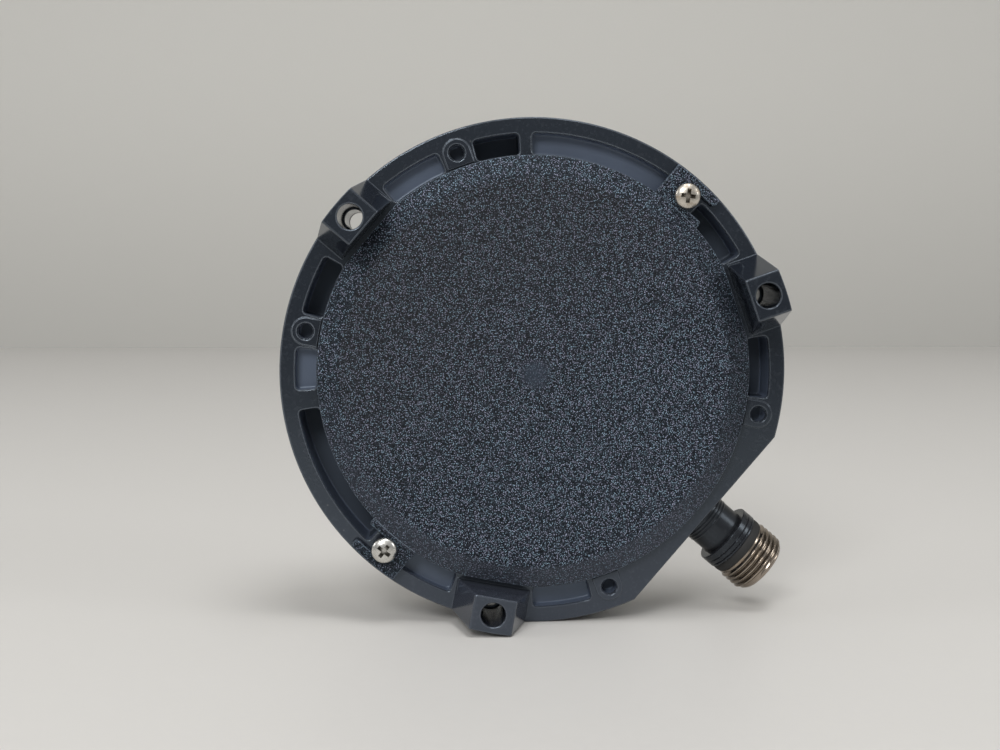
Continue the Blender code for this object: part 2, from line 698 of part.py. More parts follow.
def raceway(edge_radius, pitch_radius, centre):
    """Groove points of a ball race, from the high side to the low side."""
    race = BALL_RADIUS + GAP
    sign = 1 if edge_radius > pitch_radius else -1
    half = math.degrees(math.acos(abs(edge_radius - pitch_radius) / race))
    return [(pitch_radius + sign * x, centre + z) for x, z in arc(race, half, -half, 4)]


def make_bearing(prefix, low):
    """One ball bearing: both rings, and the cage with its balls, kept clear of the races."""
    high = low + BEARING_WIDTH
    centre = (low + high) / 2
    inner_edge = BEARING_BORE + BEARING_SECTION * INNER_RING_SHARE
    outer_edge = BEARING_OUTER_RADIUS - BEARING_SECTION * OUTER_RING_SHARE
    pitch = (inner_edge + outer_edge) / 2
    half_wall = BEARING_SECTION * CAGE_SHARE / 2
    outer = [(BEARING_OUTER_RADIUS, low), (outer_edge, low), *reversed(raceway(outer_edge, pitch, centre))]
    outer += [(outer_edge, high), (BEARING_OUTER_RADIUS, high)]
    add_part(f"{prefix}_bearing_outer_ring", turned(outer, STEPS_SMALL), BEARING_STEEL)
    inner = [(BEARING_BORE, high), (inner_edge, high), *raceway(inner_edge, pitch, centre)]
    inner += [(inner_edge, low), (BEARING_BORE, low)]
    add_part(f"{prefix}_bearing_inner_ring", turned(inner, STEPS_SMALL), BEARING_STEEL)
    cage = ring(
        pitch - half_wall, pitch + half_wall, centre - CAGE_WIDTH / 2, centre + CAGE_WIDTH / 2, STEPS_SMALL
    )
    balls = []
    for number in range(BALL_COUNT):
        shape = bmesh.new()
        bmesh.ops.create_uvsphere(shape, u_segments=8, v_segments=5, radius=BALL_RADIUS)
        ball = bpy.data.meshes.new("ball")
        shape.to_mesh(ball)
        shape.free()
        at = place(pitch, 360 / BALL_COUNT * number)
        balls.append(moved(ball, Matrix.Translation((*at, centre))))
    add_part(f"{prefix}_ball_cage", fused(cage, balls), CAGE_NYLON)


def split_ring(inner, outer, low, high):
    """A retaining ring with an opening at the top."""
    start = 90 + RETAINING_OPENING / 2
    end = 450 - RETAINING_OPENING / 2
    loop = arc(outer, start, end, STEPS_SMALL) + arc(inner, end, start, STEPS_SMALL)
    return plate([loop], low, high)


def make_bearing_stack():
    """What stands between the bearings and the flange: spacer, wave washer, retaining ring and shaft seal."""
    spacer_inner = BEARING_OUTER_RADIUS - SPACER_WALL
    spacer = ring(spacer_inner, BEARING_OUTER_RADIUS, SPACER_FRONT, SPACER_FRONT + SPACER_WIDTH, STEPS_SMALL)
    add_part("bearing_spacer", spacer, ALUMINIUM)
    middle = WASHER_FRONT + WASHER_WAVE
    washer = ring(spacer_inner, BEARING_OUTER_RADIUS, middle, middle + WASHER_THICKNESS, STEPS_SEAL)
    for vertex in washer.vertices:
        vertex.co.z += WASHER_WAVE * math.sin(3 * math.atan2(vertex.co.y, vertex.co.x))
    add_part("preload_washer", washer, SPRING_STEEL)
    seat = TUBE_BORE + RETAINING_SEAT
    retainer = split_ring(seat - RETAINING_WIDTH, seat, RETAINER_FRONT, RETAINER_FRONT + RETAINING_THICKNESS)
    add_part("bearing_retaining_ring", retainer, SPRING_STEEL)
    seal = ring(SHAFT_RADIUS + GAP, SHAFT_SEAL_RADIUS, PILOT_FACE, PILOT_FACE + SHAFT_SEAL_WIDTH, STEPS_MEDIUM)
    add_part("shaft_seal", seal, BLACK_RUBBER)


def make_shaft():
    """Turned shaft with a shoulder between the bearings, a retaining groove and a flat at its end."""
    groove = SHAFT_RADIUS - RETAINING_SEAT
    groove_front = REAR_BEARING_BACK
    groove_back = groove_front + RETAINING_THICKNESS + 2 * GAP
    profile = [
        (0, SHAFT_REAR),
        (SHAFT_RADIUS - SHAFT_CHAMFER, SHAFT_REAR),
        (SHAFT_RADIUS, SHAFT_REAR - SHAFT_CHAMFER),
        (SHAFT_RADIUS, groove_back),
        (groove, groove_back),
        (groove, groove_front),
        (SHAFT_RADIUS, groove_front),
        (SHAFT_RADIUS, SPACER_FRONT + SPACER_WIDTH),
        (SHAFT_SHOULDER_RADIUS, SPACER_FRONT + SPACER_WIDTH),
        (SHAFT_SHOULDER_RADIUS, SPACER_FRONT),
        (SHAFT_RADIUS, SPACER_FRONT),
        (SHAFT_RADIUS, SHAFT_END + SHAFT_CHAMFER),
        (SHAFT_RADIUS - SHAFT_CHAMFER, SHAFT_END),
        (0, SHAFT_END),
    ]
    body = turned(profile, STEPS_MEDIUM)
    beyond = 2 * SHAFT_RADIUS
    flat = block(
        (-beyond, SHAFT_FLAT_DISTANCE, SHAFT_END - beyond), (beyond, beyond, SHAFT_END + SHAFT_FLAT_LENGTH)
    )
    add_part("shaft", cut(body, [flat]), STAINLESS)
    clip_inner = groove + GAP
    clip = split_ring(
        clip_inner, clip_inner + RETAINING_WIDTH, groove_front + GAP, groove_front + GAP + RETAINING_THICKNESS
    )
    add_part("shaft_retaining_ring", clip, SPRING_STEEL)


def make_disc():
    """Hub, code disc and clamp ring on the shaft's rear end."""
    bore = SHAFT_RADIUS + GAP
    spigot = bore + HUB_SPIGOT_WALL
    hub = [
        (bore, DISC_FRONT + DISC_THICKNESS),
        (spigot, DISC_FRONT + DISC_THICKNESS),
        (spigot, HUB_SEAT),
        (HUB_PLATE_RADIUS, HUB_SEAT),
        (HUB_PLATE_RADIUS, HUB_SEAT - HUB_PLATE_THICKNESS),
        (bore + HUB_WALL, HUB_SEAT - HUB_PLATE_THICKNESS),
        (bore + HUB_WALL, HUB_FRONT),
        (bore, HUB_FRONT),
    ]
    add_part("disc_hub", turned(hub, STEPS_MEDIUM), ALUMINIUM)
    disc = ring(spigot + GAP, DISC_RADIUS, DISC_FRONT, DISC_FRONT + DISC_THICKNESS, STEPS_MEDIUM)
    add_part("code_disc", disc, DISC_GLASS)
    clamp = ring(bore, CLAMP_RADIUS, CLAMP_FRONT, CLAMP_FRONT + CLAMP_THICKNESS, STEPS_MEDIUM)
    add_part("disc_clamp_ring", clamp, ALUMINIUM)


def centred_block(size, at, low):
    """A box of a given size on a point, standing on a height."""
    half_x, half_y = size[0] / 2, size[1] / 2
    return block((at[0] - half_x, at[1] - half_y, low), (at[0] + half_x, at[1] + half_y, low + size[2]))


def make_board():
    """Ring-shaped circuit board with its screws, sensor, chips and lead header."""
    outline = flatted_circle(BOARD_RADIUS, BOARD_FLAT_DISTANCE, STEPS_MEDIUM)
    board = plate([outline, circle(TUBE_RADIUS + GAP, STEPS_MEDIUM)], BOARD_FRONT, BOARD_REAR)
    seats = [place(BOARD_SCREW_CIRCLE, angle) for angle in BOARD_SCREW_ANGLES]
    holes = [rod(BOARD_HOLE_RADIUS, 2 * BOARD_FRONT, 0, STEPS_TINY, at) for at in seats]
    add_part("circuit_board", cut(board, holes), BOARD_GREEN)
    for number, at in enumerate(seats, 1):
        screw = pan_screw(
            BOARD_SCREW_HEAD_RADIUS, BOARD_SCREW_HEAD_HEIGHT, BOARD_SCREW_RADIUS, BOARD_SCREW_LENGTH, STEPS_TINY
        )
        add_part(f"board_screw_{number}", moved(screw, Matrix.Translation((*at, BOARD_REAR + GAP))), STAINLESS)
    sensor_at = (0.0, SENSOR_CIRCLE)
    add_part("sensor_chip", centred_block(SENSOR_SIZE, sensor_at, BOARD_REAR + GAP), CHIP_BLACK)
    window = centred_block(WINDOW_SIZE, sensor_at, WINDOW_TOP - WINDOW_SIZE[2])
    add_part("sensor_window", window, WINDOW_GLASS)
    chip_top = BOARD_FRONT - GAP
    processor = centred_block(PROCESSOR_SIZE, (0.0, PROCESSOR_CIRCLE), chip_top - PROCESSOR_SIZE[2])
    add_part("processor_chip", processor, CHIP_BLACK)
    for number, angle in enumerate(CAPACITOR_ANGLES, 1):
        at = place(CAPACITOR_CIRCLE, angle)
        can = rod(CAPACITOR_RADIUS, chip_top - CAPACITOR_HEIGHT, chip_top, STEPS_TINY, at)
        add_part(f"capacitor_{number}", can, CAPACITOR_CAN)
    header_at = (0.0, -HEADER_REACH + HEADER_SIZE[1] / 2)
    add_part("lead_header", centred_block(HEADER_SIZE, header_at, chip_top - HEADER_SIZE[2]), CHIP_BLACK)


def make_neck():
    """Black stem through the housing wall, held by its inner collar, with fine ridges by the flat."""
    start = PAD_DISTANCE - GAP - NECK_COLLAR_THICKNESS
    profile = [(NECK_BORE_RADIUS, start), (NECK_COLLAR_RADIUS, start)]
    profile += [(NECK_COLLAR_RADIUS, PAD_DISTANCE - GAP), (NECK_RADIUS, PAD_DISTANCE - GAP)]
    for number in range(NECK_RIDGES):
        ridge = FLAT_DISTANCE + GAP + NECK_RIDGE_PITCH * (number + 0.5)
        crest = NECK_RADIUS + NECK_RIDGE_HEIGHT
        profile += [(NECK_RADIUS, ridge), (crest, ridge)]
        profile += [(crest, ridge + NECK_RIDGE_WIDTH), (NECK_RADIUS, ridge + NECK_RIDGE_WIDTH)]
    profile += [(NECK_RADIUS, NECK_END), (NECK_BORE_RADIUS, NECK_END)]
    add_part("connector_neck", moved(turned(profile, STEPS_MEDIUM), CONNECTOR_FRAME), BLACK_PLASTIC)


def make_sleeve():
    """Threaded metal sleeve with a seal groove behind the thread, and the ring that sits in it."""
    groove_start = SLEEVE_START + SLEEVE_COLLAR_LENGTH
    thread_start = groove_start + SLEEVE_GROOVE_LENGTH
    root = THREAD_RADIUS - THREAD_HEIGHT
    profile = [(NECK_HOLE_RADIUS, SLEEVE_END), (NECK_HOLE_RADIUS, SLEEVE_START)]
    profile += [(SLEEVE_COLLAR_RADIUS, SLEEVE_START), (SLEEVE_COLLAR_RADIUS, groove_start)]
    profile += [(SLEEVE_GROOVE_RADIUS, groove_start), (SLEEVE_GROOVE_RADIUS, thread_start)]
    for number in range(THREAD_COUNT):
        at = thread_start + THREAD_PITCH * number
        profile += [(root, at), (THREAD_RADIUS, at + THREAD_PITCH / 2)]
    profile += [(root, thread_start + THREAD_PITCH * THREAD_COUNT), (root, SLEEVE_END)]
    add_part("connector_sleeve", moved(turned(profile, STEPS_MEDIUM), CONNECTOR_FRAME), NICKEL)
    inner = SLEEVE_GROOVE_RADIUS + GAP
    seal = ring(inner, THREAD_RADIUS, groove_start + GAP, thread_start - GAP, STEPS_MEDIUM)
    add_part("connector_seal_ring", moved(seal, CONNECTOR_FRAME), BLACK_RUBBER)


def pin_places():
    """Pin centres, from left to right: a centre pin and four on a circle."""
    corner = PIN_CIRCLE / math.sqrt(2)
    return [(-corner, corner), (-corner, -corner), (0.0, 0.0), (corner, -corner), (corner, corner)]


def make_contacts():
    """Insulating insert with its pins, and the leads from the pins to the header."""
    start = NECK_END + GAP
    insert = rod(NECK_HOLE_RADIUS - GAP, start, start + INSERT_LENGTH, STEPS_MEDIUM)
    holes = [rod(PIN_RADIUS + GAP, NECK_BORE_RADIUS, 2 * NECK_END, STEPS_TINY, at) for at in pin_places()]
    add_part("connector_insert", moved(cut(insert, holes), CONNECTOR_FRAME), BLACK_PLASTIC)
    tail = NECK_END - PIN_TAIL
    header_line = BOARD_FRONT - GAP - HEADER_SIZE[2] / 2 + CONNECTOR_DEPTH
    neck_mouth = PAD_DISTANCE - NECK_COLLAR_THICKNESS
    for number, (x, y) in enumerate(pin_places(), 1):
        pin = rod(PIN_RADIUS, tail, SLEEVE_END - PIN_TIP_INSET, STEPS_TINY, (x, y))
        add_part(f"connector_pin_{number}", moved(pin, CONNECTOR_FRAME), BRASS)
        end_x = LEAD_PITCH * (number - 3)
        route = [
            (x, y, tail - GAP),
            (x, y, neck_mouth + NECK_RADIUS),
            (x, y * 0.8, neck_mouth),
            ((x + end_x) / 2, (y + header_line) / 2, (neck_mouth + HEADER_REACH) / 2),
            (end_x, header_line, HEADER_REACH + GAP),
        ]
        add_part(f"connector_lead_{number}", moved(wire(route), CONNECTOR_FRAME), LEAD_COLOURS[number - 1])


def wire(route):
    """A lead along a short route, with flat ends."""
    curve = bpy.data.curves.new("lead", "CURVE")
    curve.dimensions = "3D"
    curve.bevel_depth = LEAD_RADIUS
    curve.bevel_resolution = 1
    curve.use_fill_caps = True
    spline = curve.splines.new("POLY")
    spline.points.add(len(route) - 1)
    for point, at in zip(spline.points, route):
        point.co = (*at, 1)
    return baked(scratch_object(curve))


def stand_up():
    """Lay the shaft axis along world Y, its outer end at the origin, and roll the encoder as it stands."""
    axis = bpy.data.objects.new("encoder_axis", None)
    PARTS.objects.link(axis)
    lay = Matrix.Rotation(math.pi / 2, 4, "X") @ turned_by(ROLL)
    axis.matrix_world = Matrix.Translation((0, SHAFT_END, 0)) @ lay
    for item in list(PARTS.objects):
        if item is not axis:
            item.parent = axis


def main():
    """Make every piece and stand the assembly up."""
    make_housing()
    make_rear_cover()
    make_face_seals()
    make_housing_screws()
    make_flange()
    make_bearing("front", FRONT_BEARING)
    make_bearing("rear", REAR_BEARING)
    make_bearing_stack()
    make_shaft()
    make_disc()
    make_board()
    make_neck()
    make_sleeve()
    make_contacts()
    stand_up()


main()
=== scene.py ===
"""Looks of a flat rotary encoder: ring housing, grained cover, threaded connector and turned shaft side.

Lengths are in metres. Pieces are shaped about the shaft axis, with local Z towards the rear cover and the
connector along local -Y, and are then laid into the CAD's own frame by one matrix.
"""

import logging
import math
from dataclasses import dataclass, replace
from enum import Enum, IntEnum
from typing import Callable, Dict, List, Mapping, Optional, Sequence, Tuple, Union

import bmesh
import bpy
from mathutils import Matrix, Vector


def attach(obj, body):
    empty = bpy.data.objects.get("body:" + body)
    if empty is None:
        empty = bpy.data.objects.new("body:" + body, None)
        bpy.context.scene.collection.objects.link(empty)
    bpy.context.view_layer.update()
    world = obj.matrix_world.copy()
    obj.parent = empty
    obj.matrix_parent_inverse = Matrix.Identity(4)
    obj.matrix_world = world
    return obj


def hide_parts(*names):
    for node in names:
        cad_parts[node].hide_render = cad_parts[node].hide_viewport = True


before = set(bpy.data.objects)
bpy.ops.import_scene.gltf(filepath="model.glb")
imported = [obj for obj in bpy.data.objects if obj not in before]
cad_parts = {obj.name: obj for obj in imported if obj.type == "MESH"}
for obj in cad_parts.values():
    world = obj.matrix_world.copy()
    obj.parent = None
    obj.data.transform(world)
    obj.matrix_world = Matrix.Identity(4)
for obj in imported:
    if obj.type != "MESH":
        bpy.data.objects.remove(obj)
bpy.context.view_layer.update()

LOG = logging.getLogger("encoder")

Point = Tuple[float, float]
Triple = Tuple[float, float, float]
Angles = Tuple[float, ...]
Loop = List[Point]
Pieces = List[bpy.types.Object]
Number = Union["Signal", float]
Value = Union["Signal", float, Sequence[float]]
Key = Union[int, str]

MM = 0.001
WELD = 1e-7
SHARP = math.radians(38)
GAP = 0.3 * MM
EASE = 0.3

# Sizes and places that several sub-assemblies share
RIM_RADIUS = 44.97 * MM
CONNECTOR_FLAT = 40.6 * MM
CONNECTOR_DEPTH = 8.7 * MM
POST_CIRCLE = 41.75 * MM
POST_ANGLES = (90, 210, 330)
SCREW_CIRCLE = 41.0 * MM
BOSS_ANGLES = (60, 120, 240, 300)
EAR_ANGLES = (0, 180)
POCKET_INNER = 38.5 * MM
POCKET_OUTER = 42.2 * MM
COVER_FACE = 34.5 * MM
SHAFT_END = -48.3 * MM
ROLL = 49.5

# Directions in the CAD frame
ACROSS = (1.0, 0.0, 0.0)
AHEAD = (0.0, -1.0, 0.0)
UP = (0.0, 0.0, 1.0)
LIT_SIDE = (-0.5, 0.0, 0.85)

# Where the mask of the painted edge highlights begins and is full, by the turn of the normal and by how open
# the place is
EDGE_TURN = (0.006, 0.07)
EDGE_OPEN = (0.55, 0.85)


class Joining(Enum):
    """How two solids are put together."""

    UNION = "UNION"
    DIFFERENCE = "DIFFERENCE"
    INTERSECT = "INTERSECT"


class Carrier(Enum):
    """CAD bodies that pieces ride on."""

    HOUSING = "housing"
    SHAFT = "shaft_assembly"


class Chords(IntEnum):
    """Chords round the turned shapes, each count named after one shape that has it."""

    COVER = 240
    RIM = 216
    BODY = 144
    HUB = 96
    CONNECTOR = 72
    INSERT = 64
    SCREW_HEAD = 56
    FLANGE_HOLE = 48
    BOSS_HOLE = 44
    STANDOFF = 32
    ROD = 24
    PIN_HOLE = 20


class Light(Enum):
    """Lamps of the studio."""

    KEY = "key_softbox"
    FILL = "fill_softbox"
    SIDE = "side_softbox"
    TOP = "top_softbox"


def rolled(angle: float) -> Matrix:
    """Rotation about the shaft axis, in degrees."""
    return Matrix.Rotation(math.radians(angle), 4, "Z")


QUARTER_TURN = Matrix.Rotation(math.pi / 2, 4, "X")
STAND = Matrix.Translation((0, SHAFT_END, 0)) @ QUARTER_TURN @ rolled(ROLL)
CONNECTOR = Matrix.Translation((0, 0, -CONNECTOR_DEPTH)) @ QUARTER_TURN


def on_circle(radius: float, angle: float) -> Point:
    """A point on a circle, with the angle in degrees."""
    return radius * math.cos(math.radians(angle)), radius * math.sin(math.radians(angle))


def placed(circle: float, angle: float, height: float = 0.0) -> Matrix:
    """Shift to a place on a circle about Z, with the angle in degrees."""
    return Matrix.Translation((*on_circle(circle, angle), height))


def arc(radius: float, start: float, end: float, steps: int, centre: Point = (0.0, 0.0)) -> Loop:
    """Points of an arc, both ends included; angles are in degrees."""
    points = [on_circle(radius, start + (end - start) * i / steps) for i in range(steps + 1)]
    return [(centre[0] + x, centre[1] + y) for x, y in points]


def bar(radius: float, low: float, high: float) -> Loop:
    """Profile of a plain rod."""
    return [(0, high), (radius, high), (radius, low), (0, low)]


def eased(low: float, high: float, edge: float) -> Loop:
    """Rows of (inset, height) for a wall with a softened upper edge."""
    return [(0.0, low), (0.0, high - edge), (EASE * edge, high - EASE * edge), (edge, high)]


def clamped(value: float, low: float = 0.0, high: float = 1.0) -> float:
    """The value, kept between two limits."""
    return min(max(value, low), high)


def filleted(corners: Sequence[Triple], steps: int = 5) -> Loop:
    """Round the corners of an outline.

    Args:
        corners: Corner x, y and fillet radius, in order; a radius of 0 keeps the corner.
        steps: Chords of each fillet.

    Returns:
        The rounded outline.
    """
    outline: Loop = []
    for i, (x, y, radius) in enumerate(corners):
        if radius <= 0:
            outline.append((x, y))
            continue
        here = Vector((x, y))
        back = (Vector(corners[i - 1][:2]) - here).normalized()
        ahead = (Vector(corners[(i + 1) % len(corners)][:2]) - here).normalized()
        half = back.angle(ahead) / 2
        centre = here + (back + ahead).normalized() * (radius / math.sin(half))
        first = here + back * (radius / math.tan(half)) - centre
        last = here + ahead * (radius / math.tan(half)) - centre
        start = math.degrees(math.atan2(first.y, first.x))
        sweep = (math.degrees(math.atan2(last.y, last.x)) - start + 180) % 360 - 180
        outline += arc(radius, start, start + sweep, steps, (centre.x, centre.y))
    return outline


def shown(name: str, data: bpy.types.ID) -> bpy.types.Object:
    """Put a new object in the scene.

    Args:
        name: Name of the object.
        data: Mesh, lamp or camera that it holds.

    Returns:
        The object.
    """
    item = bpy.data.objects.new(name, data)
    bpy.context.scene.collection.objects.link(item)
    return item


def evaluated(item: bpy.types.Object) -> bpy.types.Mesh:
    """Apply a working object's modifiers and remove the object.

    Args:
        item: Working object.

    Returns:
        The changed mesh.
    """
    graph = bpy.context.evaluated_depsgraph_get()
    mesh = bpy.data.meshes.new_from_object(item.evaluated_get(graph))
    bpy.data.objects.remove(item)
    return mesh


class Solid:
    """A closed mesh that is shaped, cut and joined before it becomes a piece."""

    def __init__(self, mesh: bpy.types.Mesh) -> None:
        """Keep the mesh."""
        self.mesh = mesh

    @classmethod
    def shaped(cls, shape: bmesh.types.BMesh) -> "Solid":
        """Weld an edit mesh and point its faces out.

        Args:
            shape: Edit mesh, which is freed.

        Returns:
            The solid.
        """
        bmesh.ops.remove_doubles(shape, verts=shape.verts, dist=WELD)
        bmesh.ops.dissolve_degenerate(shape, edges=shape.edges, dist=WELD)
        bmesh.ops.recalc_face_normals(shape, faces=shape.faces)
        mesh = bpy.data.meshes.new("shape")
        shape.to_mesh(mesh)
        shape.free()
        return cls(mesh)

    @classmethod
    def turned(cls, profile: Loop, steps: int) -> "Solid":
        """Turn a (radius, height) outline about Z.

        Args:
            profile: Outline; it is closed to a ring unless it starts on the axis.
            steps: Chords round the axis.

        Returns:
            The turned solid.
        """
        shape = bmesh.new()
        rows = []
        for radius, height in profile:
            points = arc(radius, 0, 360, steps)[:steps if radius > 0 else 1]
            rows.append([shape.verts.new((x, y, height)) for x, y in points])
        pairs = list(zip(rows, rows[1:]))
        if profile[0][0] > 0:
            pairs.append((rows[-1], rows[0]))
        for first, second in pairs:
            for i in range(steps):
                ends = [first[i % len(first)], first[(i + 1) % len(first)]]
                ends += [second[(i + 1) % len(second)], second[i % len(second)]]
                corners = list(dict.fromkeys(ends))
                if len(corners) > 2:
                    shape.faces.new(corners)
        return cls.shaped(shape)

    @classmethod
    def copies(cls, profile: Loop, steps: int, circle: float, angles: Angles) -> List["Solid"]:
        """Copies of a turned solid at places on a circle."""
        return [cls.turned(profile, steps).moved(placed(circle, angle)) for angle in angles]

    @classmethod
    def rod(cls, radius: float, low: float, high: float, steps: int) -> "Solid":
        """A closed cylinder along Z between two heights."""
        return cls.turned(bar(radius, low, high), steps)

    @classmethod
    def stacked(cls, rows: Sequence[Tuple[Loop, float]]) -> "Solid":
        """Skin outlines that lie one above the other.

        Args:
            rows: Outlines of equal length, each with its height.

        Returns:
            The closed solid.
        """
        shape = bmesh.new()
        rings = [[shape.verts.new((x, y, height)) for x, y in loop] for loop, height in rows]
        for low, high in zip(rings, rings[1:]):
            for i in range(len(low)):
                shape.faces.new((low[i - 1], low[i], high[i], high[i - 1]))
        shape.faces.new(rings[0][::-1])
        shape.faces.new(rings[-1])
        return cls.shaped(shape)

    @classmethod
    def layered(cls, outline: Callable[[float], Loop], rows: Sequence[Point]) -> "Solid":
        """Skin an outline that has another inset at each height."""
        return cls.stacked([(outline(inset), height) for inset, height in rows])

    @classmethod
    def block(cls, low: Sequence[float], high: Sequence[float], draft: Point = (0.0, 0.0)) -> "Solid":
        """A box between two corners.

        Args:
            low: Lower corner.
            high: Upper corner.
            draft: How far the lower face's sides move out along X and Y.

        Returns:
            The box, wider or narrower at its foot.
        """
        shape = bmesh.new()
        bmesh.ops.create_cube(shape, size=1.0)
        for vertex in shape.verts:
            foot = vertex.co.z < 0
            for axis in range(3):
                side = 1 if vertex.co[axis] > 0 else -1
                vertex.co[axis] = high[axis] if side > 0 else low[axis]
                if foot and axis < 2:
                    vertex.co[axis] += side * draft[axis]
        return cls.shaped(shape)

    def moved(self, matrix: Matrix) -> "Solid":
        """Carry the mesh by a matrix."""
        self.mesh.transform(matrix)
        return self

    def combined(self, others: Sequence["Solid"], how: Joining) -> "Solid":
        """Join or cut this solid with others that don't touch each other.

        Args:
            others: Solids used as one tool.
            how: Kind of Boolean.

        Returns:
            The result.
        """
        shape = bmesh.new()
        for other in others:
            shape.from_mesh(other.mesh)
        tool = shown("tool", Solid.shaped(shape).mesh)
        item = shown("working_shape", self.mesh)
        change = item.modifiers.new("Boolean", "BOOLEAN")
        change.operation = how.value
        change.object = tool
        made = bmesh.new()
        made.from_mesh(evaluated(item))
        bpy.data.objects.remove(tool)
        return Solid.shaped(made)

    def cut(self, *others: "Solid") -> "Solid":
        """Take others out."""
        return self.combined(others, Joining.DIFFERENCE)

    def fused(self, *others: "Solid") -> "Solid":
        """Unite with others."""
        return self.combined(others, Joining.UNION)

    def piece(self, name: str, finish: "Finish", body: Carrier, *replaced: str) -> bpy.types.Object:
        """Stand the solid in the CAD frame as a finished piece.

        Args:
            name: Name of the new object.
            finish: What it is made of.
            body: Body it rides on.
            replaced: CAD nodes whose place it takes.

        Returns:
            The piece.
        """
        self.moved(STAND)
        self.mesh.shade_smooth()
        self.mesh.set_sharp_from_angle(angle=SHARP)
        item = shown("working_shape", self.mesh)
        item.modifiers.new("Weighted", "WEIGHTED_NORMAL").keep_sharp = True
        mesh = evaluated(item)
        mesh.name = name
        mesh.materials.clear()
        mesh.materials.append(finish.material())
        made = shown(name, mesh)
        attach(made, body.value)
        if replaced:
            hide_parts(*replaced)
        return made


def rim_outline(inset: float) -> Loop:
    """Outline of the ring and its flange, drawn in by an inset and cut off by the connector's flat."""
    half = math.degrees(math.acos((CONNECTOR_FLAT - inset) / (RIM_RADIUS - inset)))
    return arc(RIM_RADIUS - inset, half - 90, 270 - half, Chords.RIM)


def rim_disc(low: float, high: float, edge: float) -> Solid:
    """Disc with the rim's outline, chamfered at both faces."""
    return Solid.layered(rim_outline, [(edge, low), (0.0, low + edge), (0.0, high - edge), (edge, high)])


class Signal:
    """An output socket whose arithmetic adds Math nodes to its graph."""

    def __init__(self, graph: "Graph", socket: bpy.types.NodeSocket) -> None:
        """Keep the socket and its graph."""
        self.graph = graph
        self.socket = socket

    def math(self, operation: str, first: Number, second: Number = 0.0) -> "Signal":
        """Add one Math node with two operands."""
        return self.graph.node("ShaderNodeMath", {"operation": operation}, {0: first, 1: second})

    def __add__(self, other: Number) -> "Signal":
        """Sum."""
        return self.math("ADD", self, other)

    def __radd__(self, other: Number) -> "Signal":
        """Sum, reflected."""
        return self.math("ADD", other, self)

    def __sub__(self, other: Number) -> "Signal":
        """Difference."""
        return self.math("SUBTRACT", self, other)

    def __rsub__(self, other: Number) -> "Signal":
        """Difference, reflected."""
        return self.math("SUBTRACT", other, self)

    def __mul__(self, other: Number) -> "Signal":
        """Product."""
        return self.math("MULTIPLY", self, other)

    def __rmul__(self, other: Number) -> "Signal":
        """Product, reflected."""
        return self.math("MULTIPLY", other, self)

    def __pow__(self, other: Number) -> "Signal":
        """Power."""
        return self.math("POWER", self, other)

    def __rpow__(self, other: Number) -> "Signal":
        """Power, reflected."""
        return self.math("POWER", other, self)

    def ramp(self, low: float, high: float) -> "Signal":
        """Smooth step from 0 at low to 1 at high."""
        sockets = {"Value": self, "From Min": low, "From Max": high}
        return self.graph.node("ShaderNodeMapRange", {"interpolation_type": "SMOOTHSTEP"}, sockets)


